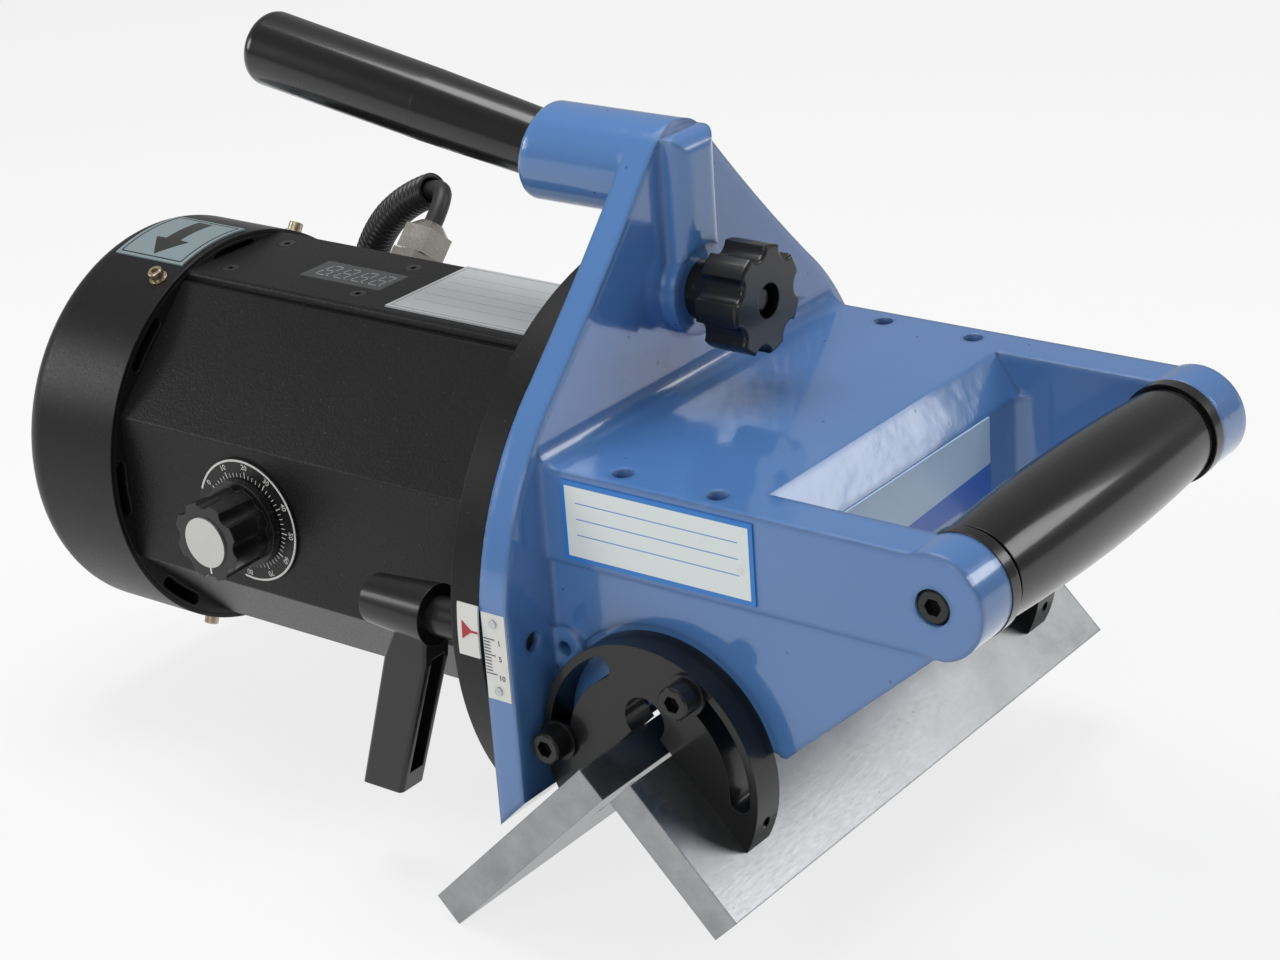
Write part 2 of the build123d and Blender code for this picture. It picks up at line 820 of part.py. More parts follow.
with BuildPart() as near_sector_plate:
    with BuildSketch(Plane.XZ.offset(sector_inner_y)):
        with Locations((apex_x, apex_z)):
            Circle(sector_radius)
        for angle, side in bar_sides:
            with BuildLine():
                Polyline(
                    guide_point(angle, 0, 0, side),
                    guide_point(angle, sector_foot_width, 0, side),
                    guide_point(angle, sector_foot_width, sector_foot_height, side),
                    guide_point(angle, 0, sector_foot_height, side),
                    close=True,
                )
            make_face()
        with BuildLine():
            Polyline(
                guide_point(long_bar_angle, 2 * sector_radius, bar_thickness, -1),
                (apex_x, apex_z + bar_thickness * slope),
                guide_point(short_bar_angle, 2 * sector_radius, bar_thickness, 1),
                close=True,
            )
        make_face(mode=Mode.SUBTRACT)
        with Locations((apex_x, apex_z + bar_thickness * slope)):
            Circle(sector_relief_radius, mode=Mode.SUBTRACT)
        with Locations((plate_front_x + sector_gap, apex_z)):
            Rectangle(
                2 * sector_radius, 4 * sector_radius, align=(Align.MAX, Align.CENTER), mode=Mode.SUBTRACT
            )
        SlotArc(front_slot_line, slot_width, mode=Mode.SUBTRACT)
        SlotArc(rear_slot_line, slot_width, mode=Mode.SUBTRACT)
    extrude(amount=sector_thickness)
    # Threads for the bar screws and the small hole in the rim
    for angle, side in bar_sides:
        for share in bar_screw_shares:
            with Locations(
                bar_plane(angle, side, share * sector_foot_width, bar_thickness, -sector_middle_y)
            ):
                Hole(m5_radius + thread_clearance, bar_screw_length - bar_thickness + overrun)
    rim_turn = math.radians(rim_hole_angle)
    rim_out = (math.cos(rim_turn), 0, math.sin(rim_turn))
    rim_point = along((apex_x, -sector_middle_y, apex_z), rim_out, sector_radius)
    with Locations(Plane(origin=rim_point, x_dir=(0, 1, 0), z_dir=rim_out)):
        Hole(rim_hole_radius, rim_hole_depth)
keep(near_sector_plate, "near_sector_plate")

with BuildPart() as far_sector_plate:
    mirror(near_sector_plate.part, about=Plane.XZ)
keep(far_sector_plate, "far_sector_plate")


def guide_bar(angle, side, width):
    """Flat bar along Y with a notch for the cutter and holes for its screws."""
    with BuildPart() as bar:
        with BuildSketch(Plane.XZ):
            with BuildLine():
                Polyline(
                    guide_point(angle, bar_apex_gap, 0, side),
                    guide_point(angle, bar_apex_gap + width, 0, side),
                    guide_point(angle, bar_apex_gap + width, bar_thickness, side),
                    guide_point(angle, bar_apex_gap, bar_thickness, side),
                    close=True,
                )
            make_face()
        extrude(amount=half_guide, both=True)
        with BuildSketch(Plane.XZ):
            with BuildLine():
                Polyline(
                    guide_point(angle, 0, -overrun, side),
                    guide_point(angle, cutter_notch_length, -overrun, side),
                    guide_point(angle, cutter_notch_length, bar_thickness + overrun, side),
                    guide_point(angle, 0, bar_thickness + overrun, side),
                    close=True,
                )
            make_face()
        extrude(amount=cutter_notch_half_width, both=True, mode=Mode.SUBTRACT)
        for y in (-sector_middle_y, sector_middle_y):
            for share in bar_screw_shares:
                with Locations(bar_plane(angle, side, share * sector_foot_width, 0, y)):
                    CounterSinkHole(
                        m5_radius + bore_clearance,
                        2 * m5_radius + bore_clearance,
                        bar_thickness,
                        90,
                    )
    return bar


long_guide_bar = guide_bar(long_bar_angle, -1, long_bar_width)
keep(long_guide_bar, "long_guide_bar")
short_guide_bar = guide_bar(short_bar_angle, 1, short_bar_width)
keep(short_guide_bar, "short_guide_bar")

bar_screw = countersunk_screw(m5_radius, bar_screw_length)
with BuildPart() as bar_screws:
    for angle, side in bar_sides:
        for y in (-sector_middle_y, sector_middle_y):
            for share in bar_screw_shares:
                with Locations(bar_plane(angle, side, share * sector_foot_width, 0, y)):
                    add(bar_screw)
keep(bar_screws, "bar_screws")

# M8 screws of the front grip and of the slots, and the washers of the slots
washer_face_y = sector_outer_y + slide_clearance
m8_screw = cap_screw(m8_radius, m8_screw_length)
m8_seats = [
    (front_screw[0], washer_face_y + washer_thickness, front_screw[1]),
    (rear_screw[0], washer_face_y + washer_thickness, rear_screw[1]),
    (grip_x, screw_seat_y, grip_z),
]
with BuildPart() as casting_screws:
    for side in (-1, 1):
        for x, y, z in m8_seats:
            with Locations(Plane(origin=(x, side * y, z), x_dir=(1, 0, 0), z_dir=(0, side, 0))):
                add(m8_screw)
keep(casting_screws, "casting_screws")
with BuildPart() as sector_washers:
    for side in (-1, 1):
        for x, z in (front_screw, rear_screw):
            with Locations(
                Plane(origin=(x, side * washer_face_y, z), x_dir=(1, 0, 0), z_dir=(0, side, 0))
            ):
                Cylinder(
                    washer_share * m8_radius, washer_thickness, align=(Align.CENTER, Align.CENTER, Align.MIN)
                )
                Cylinder(
                    m8_radius + thread_clearance,
                    washer_thickness,
                    align=(Align.CENTER, Align.CENTER, Align.MIN),
                    mode=Mode.SUBTRACT,
                )
keep(sector_washers, "sector_washers")

# Flange disc, which swings about the pivot pin on its far side
star_rise = star_z - motor_z
star_swing_radius = math.hypot(pivot_reach, star_rise)
star_slot_start = math.degrees(math.atan2(star_rise, -pivot_reach))
star_slot_line = CenterArc((pivot_reach, motor_z), star_swing_radius, star_slot_start, -swing_range)
clamp_slot_line = CenterArc((pivot_reach, motor_z), 2 * pivot_reach, 180, -swing_range)
nose_face_x = plate_back_x + nose_boss_length
corner_radius = (stator_radius + octagon_apothem / math.cos(math.pi / octagon_sides)) / 2
flange_screw_angles = [math.radians(67.5 + 90 * turn) for turn in range(4)]
flange_screw_spots = [
    (corner_radius * math.cos(angle), motor_z + corner_radius * math.sin(angle))
    for angle in flange_screw_angles
]
flange_head_depth = 2 * m6_radius + bore_clearance

with BuildPart() as flange_disc:
    with BuildSketch(Plane.YZ.offset(disc_back_x)):
        with Locations((0, motor_z)):
            Circle(disc_radius)
        with Locations((0, motor_z - disc_flat_drop)):
            Rectangle(2 * disc_radius, disc_radius, align=(Align.CENTER, Align.MAX), mode=Mode.SUBTRACT)
        SlotArc(star_slot_line, 2 * (star_stud_radius + bore_clearance), mode=Mode.SUBTRACT)
        SlotArc(clamp_slot_line, 2 * (clamp_stud_radius + bore_clearance), mode=Mode.SUBTRACT)
    extrude(amount=disc_thickness - slide_clearance)
    with BuildSketch(Plane.YZ.offset(disc_back_x)):
        with Locations((0, motor_z)):
            Circle(nose_boss_radius)
    extrude(amount=nose_face_x - disc_back_x)
    with Locations(Plane.YZ.offset(nose_face_x)):
        with Locations((0, motor_z)):
            Hole(shaft_radius + 2 * bore_clearance, nose_face_x - disc_back_x)
    with Locations(Plane.YZ.offset(plate_back_x - slide_clearance)):
        with Locations((pivot_reach, motor_z)):
            Hole(pivot_radius + running_clearance, disc_thickness)
        with Locations(*flange_screw_spots):
            CounterBoreHole(
                m6_radius + bore_clearance,
                head_share * m6_radius + bore_clearance,
                flange_head_depth,
                disc_thickness,
            )
    # Seat of the front bearing, bored from the motor's side
    with BuildSketch(Plane.YZ.offset(disc_back_x)):
        with Locations((0, motor_z)):
            Circle(front_bearing_radius + thread_clearance)
    extrude(amount=front_bearing_length, mode=Mode.SUBTRACT)
keep(flange_disc, "flange_disc")

with BuildPart() as swing_pivot_pin:
    with Locations(Plane(origin=(disc_back_x, pivot_reach, motor_z), x_dir=(0, 1, 0), z_dir=(1, 0, 0))):
        Cylinder(
            pivot_radius, plate_front_x - disc_back_x, align=(Align.CENTER, Align.CENTER, Align.MIN)
        )
    with Locations(Plane(origin=(plate_front_x, pivot_reach, motor_z), x_dir=(0, 1, 0), z_dir=(1, 0, 0))):
        Cylinder(pivot_head_radius, pivot_head_height, align=(Align.CENTER, Align.CENTER, Align.MIN))
keep(swing_pivot_pin, "swing_pivot_pin")

# Star knob on the stud that clamps the disc
star_back_x = star_face_x + slide_clearance
star_front_x = star_back_x + star_collar_length + star_knob_length
stud_back_x = disc_back_x - slide_clearance - stud_head_thickness
stud_front_x = star_front_x - star_recess_depth / 2
stud_origin = (stud_back_x, 0, star_z)
with BuildPart() as star_knob_stud:
    with Locations(Plane(origin=stud_origin, x_dir=(0, 1, 0), z_dir=(1, 0, 0))):
        Cylinder(stud_head_radius, stud_head_thickness, align=(Align.CENTER, Align.CENTER, Align.MIN))
        Cylinder(star_stud_radius, stud_front_x - stud_back_x, align=(Align.CENTER, Align.CENTER, Align.MIN))
keep(star_knob_stud, "star_knob_stud")

with BuildPart() as star_knob:
    with BuildSketch(Plane.YZ.offset(star_back_x)):
        with Locations((0, star_z)):
            Circle(star_collar_radius)
    extrude(amount=star_collar_length)
    with BuildSketch(Plane.YZ.offset(star_back_x + star_collar_length)):
        with Locations((0, star_z)):
            Circle(star_outer_radius)
            with PolarLocations(star_waist_radius + star_flute_radius, star_lobe_count):
                Circle(star_flute_radius, mode=Mode.SUBTRACT)
    extrude(amount=star_knob_length)
    knob_rims = star_knob.edges().group_by(Axis.X)[-1]
    fillet(knob_rims, star_edge_fillet)
    with Locations(Plane.YZ.offset(star_front_x)):
        with Locations((0, star_z)):
            CounterBoreHole(
                star_stud_radius + running_clearance,
                star_recess_radius,
                star_recess_depth,
                star_front_x - star_back_x,
            )
keep(star_knob, "star_knob")

# Clamping lever: insert with its stud and screw, hub with its arm, spring and button
hub_front_x = disc_back_x - slide_clearance - lever_spacer_length
hub_back_x = hub_front_x - lever_hub_length
bore_end_x = hub_front_x - lever_bore_depth
stud_tip_x = plate_front_x - clamp_stud_skin - slide_clearance
screw_head_x = hub_back_x + lever_button_length
web_back_x = bore_end_x - spring_wall


def on_clamp(x):
    """Plane across the clamp's axis that faces the motor's end."""
    return Plane(origin=(x, -pivot_reach, motor_z), x_dir=(0, 1, 0), z_dir=(-1, 0, 0))


def rod(radius, from_x, to_x):
    """Cylinder along the clamp's axis between two places on X."""
    with BuildPart() as piece:
        with BuildSketch(on_clamp(from_x)):
            Circle(radius)
        extrude(amount=from_x - to_x)
    return piece.part


lever_screw_x = screw_head_x + slide_clearance + m3_radius * 2
with BuildPart() as clamp_insert:
    add(rod(lever_insert_radius, disc_back_x - slide_clearance, bore_end_x + slide_clearance))
    add(rod(clamp_stud_radius, stud_tip_x, bore_end_x + slide_clearance))
    add(rod(m3_radius * 2, bore_end_x + overrun, lever_screw_x))
    add(rod(spring_radius, lever_screw_x, screw_head_x + slide_clearance))
keep(clamp_insert, "clamp_insert")

with BuildPart() as clamp_lever:
    with BuildSketch(Plane(origin=(0, -pivot_reach, motor_z), x_dir=(1, 0, 0), z_dir=(0, -1, 0))):
        with BuildLine():
            Polyline(
                (hub_front_x, 0),
                (hub_front_x, lever_hub_radius),
                (hub_back_x, lever_hub_end_radius),
                (hub_back_x, 0),
                close=True,
            )
        make_face()
    revolve(axis=Axis((0, -pivot_reach, motor_z), (1, 0, 0)))
    arm_top_x = hub_front_x - lever_arm_setback
    for share, width, depth in (
        (0, lever_arm_root_width, 2 * lever_arm_setback),
        (lever_root_share, lever_arm_root_width, lever_arm_root_depth),
        (1, lever_arm_tip_width, lever_arm_tip_depth),
    ):
        with BuildSketch(
            Plane(
                origin=(arm_top_x - share * lever_arm_bend, -pivot_reach, motor_z - share * lever_arm_length),
                x_dir=(1, 0, 0),
                z_dir=(0, 0, -1),
            )
        ):
            RectangleRounded(depth, width, lever_arm_rounding)
    loft(ruled=True)
    # Long recess in the arm's front
    with BuildSketch(Plane.XZ.offset(pivot_reach)):
        with BuildLine():
            slot_top_z = motor_z - lever_hub_radius - lever_slot_wall * 2
            slot_low_z = motor_z - lever_arm_length + lever_slot_wall * 3
            top_share = (motor_z - slot_top_z) / lever_arm_length
            low_share = (motor_z - slot_low_z) / lever_arm_length
            top_x = arm_top_x - top_share * lever_arm_bend + lever_arm_root_depth / 2
            low_x = arm_top_x - low_share * lever_arm_bend + lever_arm_tip_depth / 2
            Polyline(
                (top_x + overrun, slot_top_z),
                (top_x - lever_slot_depth, slot_top_z),
                (low_x - lever_slot_depth, slot_low_z),
                (low_x + overrun, slot_low_z),
                close=True,
            )
        make_face()
    extrude(amount=lever_arm_tip_width / 2 - lever_slot_wall, both=True, mode=Mode.SUBTRACT)
    # Bore of the insert, web, spring space and seat of the button
    add(rod(lever_insert_radius + running_clearance, hub_front_x + overrun, bore_end_x), mode=Mode.SUBTRACT)
    add(rod(m3_radius * 2 + bore_clearance, hub_front_x, hub_back_x), mode=Mode.SUBTRACT)
    add(rod(spring_radius + bore_clearance, web_back_x, hub_back_x - overrun), mode=Mode.SUBTRACT)
keep(clamp_lever, "clamp_lever")

spring_end_x = web_back_x - lever_lift - slide_clearance
with BuildPart() as clamp_spring:
    add(rod(spring_radius, spring_end_x, lever_screw_x))
    add(rod(spring_radius - spring_wall, spring_end_x, lever_screw_x), mode=Mode.SUBTRACT)
keep(clamp_spring, "clamp_spring")

with BuildPart() as clamp_button:
    button_radius = spring_radius + bore_clearance / 2
    add(rod(button_radius, screw_head_x - slide_clearance, hub_back_x - lever_button_length / 2))
keep(clamp_button, "clamp_button")

# Motor housing and what is inside it
motor_axis = Axis((0, 0, motor_z), (1, 0, 0))
gland_x = disc_back_x - gland_from_disc
dial_x = disc_back_x - dial_from_disc
rotor_back_x = housing_back_x + rotor_back_gap
rotor_front_x = rotor_back_x + rotor_length
stator_back_x = rotor_back_x + (rotor_length - stator_length) / 2
stator_front_x = stator_back_x + stator_length
plate_rear_x = housing_back_x - bearing_plate_thickness
shroud_screw_x = housing_back_x - shroud_screw_setback
cover_low_z = motor_z + octagon_apothem
cover_top_z = cover_low_z + cover_height
pocket_floor_z = cover_low_z - cover_pocket_depth
half_facet = 180 / octagon_sides
rear_plate_angles = (half_facet, 180 - half_facet, 180 + half_facet, 360 - half_facet)
rear_plate_spots = [
    (
        corner_radius * math.cos(math.radians(angle)),
        motor_z + corner_radius * math.sin(math.radians(angle)),
    )
    for angle in rear_plate_angles
]
cover_screw_spots = [
    (disc_back_x - start, side * cover_screw_half_spacing)
    for start in cover_screw_starts
    for side in (-1, 1)
]
thread_hole_depth = thread_depth / 2 + overrun
dial_plane = Plane(origin=(dial_x, -octagon_apothem, motor_z), x_dir=(1, 0, 0), z_dir=(0, -1, 0))
gland_plane = ring_plane(45, octagon_apothem, gland_x)


def x_plane(x, y, z, side):
    """Plane across X at a point, facing the side given by a sign."""
    return Plane(origin=(x, y, z), x_dir=(0, 1, 0), z_dir=(side, 0, 0))


with BuildPart() as motor_housing:
    with BuildSketch(Plane.YZ.offset(disc_back_x)):
        with Locations((0, motor_z)):
            RegularPolygon(octagon_apothem, octagon_sides, major_radius=False, rotation=half_facet)
    extrude(amount=-housing_length)
    fillet(motor_housing.edges().filter_by(Axis.X), housing_edge_fillet)
    with BuildSketch(Plane.YZ.offset(disc_back_x)):
        with Locations((0, motor_z)):
            Circle(stator_radius)
    extrude(amount=-housing_length, mode=Mode.SUBTRACT)
    # Pocket for the circuit board and hole for its wires
    with BuildSketch(Plane.XY.offset(cover_low_z)):
        with Locations(((housing_back_x + disc_back_x) / 2, 0)):
            Rectangle(housing_length - 2 * cover_pocket_margin, 2 * cover_pocket_half_width)
    extrude(amount=-cover_pocket_depth, mode=Mode.SUBTRACT)
    with Locations((gland_x, 0, pocket_floor_z)):
        Hole(wire_hole_radius, octagon_apothem - stator_radius)
    with Locations(Plane.XY.offset(cover_low_z)):
        with Locations(*cover_screw_spots):
            Hole(m4_radius + thread_clearance, cover_screw_length - cover_height + overrun / 2)
    # Seat of the speed control and hole of the gland
    with Locations(dial_plane):
        Hole(pot_radius + thread_clearance, pot_depth)
    with Locations(gland_plane):
        Hole(gland_stem_radius + thread_clearance, 2 * (octagon_apothem - stator_radius))
    # Threads for the flange and for the bearing plate
    for y, z in flange_screw_spots:
        with Locations(x_plane(disc_back_x, y, z, 1)):
            Hole(m6_radius + thread_clearance, thread_hole_depth)
    for y, z in rear_plate_spots:
        with Locations(x_plane(housing_back_x, y, z, -1)):
            Hole(m6_radius + thread_clearance, thread_hole_depth)
keep(motor_housing, "motor_housing")


def ring(outer, inner, from_x, to_x):
    """Plain ring about the motor axis between two places on X."""
    with BuildPart() as piece:
        with BuildSketch(Plane.YZ.offset(from_x)):
            with Locations((0, motor_z)):
                Circle(outer)
                Circle(inner, mode=Mode.SUBTRACT)
        extrude(amount=to_x - from_x)
    return piece


stator = ring(stator_radius, stator_bore_radius, stator_back_x, stator_front_x)
keep(stator, "stator")
front_winding = ring(winding_radius, winding_bore_radius, stator_front_x, stator_front_x + winding_length)
rear_winding = ring(winding_radius, winding_bore_radius, stator_back_x - winding_length, stator_back_x)
with BuildPart() as windings:
    add(front_winding.part)
    add(rear_winding.part)
keep(windings, "windings")
rotor = ring(rotor_radius, rotor_seat_radius, rotor_back_x, rotor_front_x)
keep(rotor, "rotor")

cooling_lines = [
    CenterArc(
        (0, motor_z),
        cooling_slot_radius,
        2 * half_facet * number - cooling_slot_angle / 2,
        cooling_slot_angle,
    )
    for number in range(octagon_sides)
]
with BuildPart() as rear_bearing_plate:
    with BuildSketch(Plane.YZ.offset(housing_back_x)):
        with Locations((0, motor_z)):
            Circle(shroud_radius - shroud_wall)
        for line in cooling_lines:
            SlotArc(line, cooling_slot_width, mode=Mode.SUBTRACT)
    extrude(amount=-bearing_plate_thickness)
    with Locations(x_plane(housing_back_x, 0, motor_z, 1)):
        CounterBoreHole(
            rear_shaft_radius + 2 * bore_clearance,
            rear_bearing_radius + thread_clearance,
            rear_bearing_length,
            bearing_plate_thickness,
        )
    for y, z in rear_plate_spots:
        with Locations(x_plane(plate_rear_x, y, z, -1)):
            CounterBoreHole(
                m6_radius + bore_clearance,
                head_share * m6_radius + bore_clearance,
                flange_head_depth,
                bearing_plate_thickness,
            )
    for angle in shroud_screw_angles:
        with Locations(ring_plane(angle, shroud_radius - shroud_wall, shroud_screw_x)):
            Hole(m4_radius + thread_clearance, shroud_screw_length)
keep(rear_bearing_plate, "rear_bearing_plate")

front_bearing = ring(
    front_bearing_radius, shaft_radius + running_clearance, disc_back_x, disc_back_x + front_bearing_length
)
rear_bearing = ring(
    rear_bearing_radius,
    rear_shaft_radius + running_clearance,
    housing_back_x - rear_bearing_length,
    housing_back_x,
)
with BuildPart() as shaft_bearings:
    add(front_bearing.part)
    add(rear_bearing.part)
keep(shaft_bearings, "shaft_bearings")

# M6 screws of the flange disc and of the bearing plate
flange_screw = cap_screw(m6_radius, disc_thickness - slide_clearance - flange_head_depth + thread_depth / 2)
rear_plate_screw = cap_screw(m6_radius, bearing_plate_thickness - flange_head_depth + thread_depth / 2)
with BuildPart() as motor_screws:
    for y, z in flange_screw_spots:
        with Locations(x_plane(plate_back_x - slide_clearance - flange_head_depth, y, z, 1)):
            add(flange_screw)
    for y, z in rear_plate_spots:
        with Locations(x_plane(plate_rear_x + flange_head_depth, y, z, -1)):
            add(rear_plate_screw)
keep(motor_screws, "motor_screws")

# Shroud over the fan, with arc slots in its end
vent_lines = [
    CenterArc(
        (0, motor_z),
        vent_first_radius + row * vent_pitch,
        360 / vent_slots * slot + vent_bridge_angle / 2,
        360 / vent_slots - vent_bridge_angle,
    )
    for row in range(vent_rows)
    for slot in range(vent_slots)
]
side_section = Plane(origin=(0, 0, motor_z), x_dir=(1, 0, 0), z_dir=(0, -1, 0))
with BuildPart() as end_shroud:
    with BuildSketch(side_section):
        with BuildLine():
            round_x = shroud_back_x + shroud_rounding
            round_y = shroud_radius - shroud_rounding
            Line((housing_back_x, shroud_radius), (round_x, shroud_radius))
            CenterArc((round_x, round_y), shroud_rounding, 90, 90)
            Polyline(
                (shroud_back_x, round_y),
                (shroud_back_x, 0),
                (shroud_back_x + shroud_wall, 0),
                (shroud_back_x + shroud_wall, round_y),
            )
            CenterArc((round_x, round_y), shroud_rounding - shroud_wall, 90, 90)
            Polyline(
                (round_x, shroud_radius - shroud_wall),
                (housing_back_x, shroud_radius - shroud_wall),
                (housing_back_x, shroud_radius),
            )
        make_face()
    revolve(axis=motor_axis)
    with BuildSketch(Plane.YZ.offset(shroud_back_x)):
        for line in vent_lines:
            SlotArc(line, vent_width)
    extrude(amount=shroud_wall, mode=Mode.SUBTRACT)
    for angle in shroud_screw_angles:
        with Locations(ring_plane(angle, shroud_radius - spot_face_depth, shroud_screw_x)):
            Hole(m4_radius + bore_clearance, 2 * shroud_wall)
            Cylinder(
                washer_share * m4_radius + bore_clearance,
                overrun,
                align=(Align.CENTER, Align.CENTER, Align.MIN),
                mode=Mode.SUBTRACT,
            )
keep(end_shroud, "end_shroud")

small_washer_thickness = washer_thickness / 2
shroud_screw = cap_screw(m4_radius, shroud_screw_length)
with BuildPart() as shroud_screws:
    for angle in shroud_screw_angles:
        seat_radius_here = shroud_radius - spot_face_depth + small_washer_thickness
        with Locations(ring_plane(angle, seat_radius_here, shroud_screw_x)):
            add(shroud_screw)
keep(shroud_screws, "shroud_screws")
with BuildPart() as shroud_washers:
    for angle in shroud_screw_angles:
        with Locations(ring_plane(angle, shroud_radius - spot_face_depth, shroud_screw_x)):
            Cylinder(
                washer_share * m4_radius,
                small_washer_thickness,
                align=(Align.CENTER, Align.CENTER, Align.MIN),
            )
            Cylinder(
                m4_radius + thread_clearance,
                small_washer_thickness,
                align=(Align.CENTER, Align.CENTER, Align.MIN),
                mode=Mode.SUBTRACT,
            )
keep(shroud_washers, "shroud_washers")


def curved_plate(inner_radius, angles, from_x, to_x):
    """Thin plate bent round the motor axis between two angles from +Y."""
    first, last = (math.radians(angle) for angle in angles)
    middle = (first + last) / 2
    inner_radius += slide_clearance
    outer_radius = inner_radius + plate_skin
    corners = [
        (radius * math.cos(turn), motor_z + radius * math.sin(turn))
        for radius, turn in (
            (inner_radius, first),
            (inner_radius, middle),
            (inner_radius, last),
            (outer_radius, last),
            (outer_radius, middle),
            (outer_radius, first),
        )
    ]
    with BuildPart() as plate:
        with BuildSketch(Plane.YZ.offset(from_x)):
            with BuildLine():
                ThreePointArc(corners[0], corners[1], corners[2])
                Line(corners[2], corners[3])
                ThreePointArc(corners[3], corners[4], corners[5])
                Line(corners[5], corners[0])
            make_face()
        extrude(amount=to_x - from_x)
    return plate


arrow_front_x = housing_back_x - arrow_plate_setback
arrow_back_x = arrow_front_x - arrow_plate_length
arrow_plate = curved_plate(shroud_radius, arrow_plate_angles, arrow_back_x, arrow_front_x)
keep(arrow_plate, "arrow_plate")
pointer_rise = pointer_top_height - motor_height
pointer_angles = (
    180 - math.degrees(math.asin(pointer_rise / disc_radius)),
    180 + math.degrees(math.asin((pointer_length - pointer_rise) / disc_radius)),
)
pointer_front_x = plate_back_x - slide_clearance
pointer_plate = curved_plate(disc_radius, pointer_angles, pointer_front_x - pointer_width, pointer_front_x)
keep(pointer_plate, "pointer_plate")

# Shaft, fan and cutter, which turn together
cutter_front_x = apex_x + cutter_width / 2
cutter_back_x = apex_x - cutter_width / 2
fan_front_x = plate_rear_x - fan_gap
fan_back_x = fan_front_x - fan_length
shaft_steps = (
    (cutter_front_x - seat_shortfall, seat_radius),
    (cutter_back_x, shoulder_radius),
    (cutter_back_x - shoulder_length, shaft_radius),
    (rotor_front_x, rotor_seat_radius),
    (rotor_back_x, rear_shaft_radius),
    (plate_rear_x - fan_gap / 2, fan_shaft_radius),
    (fan_back_x, 0),
)
shaft_outline = [(shaft_steps[0][0], 0)]
for (step_x, step_radius), (next_x, next_radius) in zip(shaft_steps, shaft_steps[1:]):
    shaft_outline.append((step_x, step_radius))
    shaft_outline.append((next_x, step_radius))
shaft_outline.append((fan_back_x, 0))
with BuildPart() as motor_shaft:
    with BuildSketch(side_section):
        with BuildLine():
            Polyline(*shaft_outline, close=True)
        make_face()
    revolve(axis=motor_axis)
    with Locations(x_plane(cutter_front_x - seat_shortfall, 0, motor_z, 1)):
        Hole(m8_radius + thread_clearance, cutter_bolt_length)
keep(motor_shaft, "motor_shaft")

with BuildPart() as cooling_fan:
    with BuildSketch(Plane.YZ.offset(fan_front_x)):
        with Locations((0, motor_z)):
            Circle(fan_radius)
    extrude(amount=-fan_plate_thickness)
    with BuildSketch(Plane.YZ.offset(fan_front_x)):
        with Locations((0, motor_z)):
            Circle(fan_hub_radius)
            with PolarLocations(fan_hub_radius - fan_blade_thickness, fan_blade_count):
                Rectangle(
                    fan_radius - fan_hub_radius, fan_blade_thickness, align=(Align.MIN, Align.CENTER)
                )
    extrude(amount=-fan_length)
    with Locations(x_plane(fan_front_x, 0, motor_z, 1)):
        Hole(fan_shaft_radius, fan_length)
keep(cooling_fan, "cooling_fan")


def cutter_plane(number):
    """Plane at the cutter's middle whose X points out to one of its inserts."""
    turn = 2 * math.pi * number / insert_count
    return Plane(
        origin=(apex_x, 0, motor_z), x_dir=(0, math.cos(turn), math.sin(turn)), z_dir=(1, 0, 0)
    )


with BuildPart() as cutter_head:
    with BuildSketch(Plane.YZ.offset(apex_x)):
        with Locations((0, motor_z)):
            Circle(cutter_body_radius)
            Circle(seat_radius, mode=Mode.SUBTRACT)
    extrude(amount=cutter_width / 2, both=True)
    for number in range(insert_count):
        with Locations(cutter_plane(number)):
            with Locations((cutter_radius - insert_depth, 0, 0)):
                Box(
                    insert_depth + overrun,
                    insert_thickness,
                    insert_length,
                    align=(Align.MIN, Align.MAX, Align.CENTER),
                    mode=Mode.SUBTRACT,
                )
                Box(
                    insert_depth + overrun,
                    gullet_width,
                    cutter_width + overrun,
                    align=(Align.MIN, Align.MIN, Align.CENTER),
                    mode=Mode.SUBTRACT,
                )
keep(cutter_head, "cutter_head")

with BuildPart() as cutting_inserts:
    for number in range(insert_count):
        with Locations(cutter_plane(number)):
            with Locations((cutter_radius, 0, 0)):
                Box(
                    insert_depth,
                    insert_thickness,
                    insert_length,
                    align=(Align.MAX, Align.MAX, Align.CENTER),
                )
keep(cutting_inserts, "cutting_inserts")

cutter_washer = ring(
    cutter_washer_radius,
    m8_radius + thread_clearance,
    cutter_front_x,
    cutter_front_x + cutter_washer_thickness,
)
keep(cutter_washer, "cutter_washer")

with BuildPart() as cutter_bolt:
    with Locations(x_plane(cutter_front_x + cutter_washer_thickness, 0, motor_z, 1)):
        add(cap_screw(m8_radius, cutter_bolt_length))
keep(cutter_bolt, "cutter_bolt")

# Control cover, its screws, display and plates
display_back_x = disc_back_x - display_start - display_length
window_margin = 2 * display_thickness
with BuildPart() as control_cover:
    with BuildSketch(Plane.XY.offset(cover_low_z)):
        with Locations(((housing_back_x + disc_back_x) / 2, 0)):
            Rectangle(housing_length, 2 * cover_half_width)
    extrude(amount=cover_height)
    cover_rim = edges().group_by(Axis.Z)[-1].filter_by(Axis.X)
    fillet(cover_rim, cover_edge_fillet)
    with Locations((display_back_x, display_low_y, cover_top_z)):
        Box(
            display_length,
            display_width,
            2 * display_thickness,
            align=(Align.MIN, Align.MIN, Align.CENTER),
            mode=Mode.SUBTRACT,
        )
    with Locations((display_back_x + window_margin, display_low_y + window_margin, cover_top_z)):
        Box(
            display_length - 2 * window_margin,
            display_width - 2 * window_margin,
            2 * cover_height + overrun,
            align=(Align.MIN, Align.MIN, Align.CENTER),
            mode=Mode.SUBTRACT,
        )
    with Locations(Plane.XY.offset(cover_top_z)):
        with Locations(*cover_screw_spots):
            CounterSinkHole(
                m4_radius + bore_clearance, 2 * m4_radius + bore_clearance, cover_height, 90
            )
keep(control_cover, "control_cover")

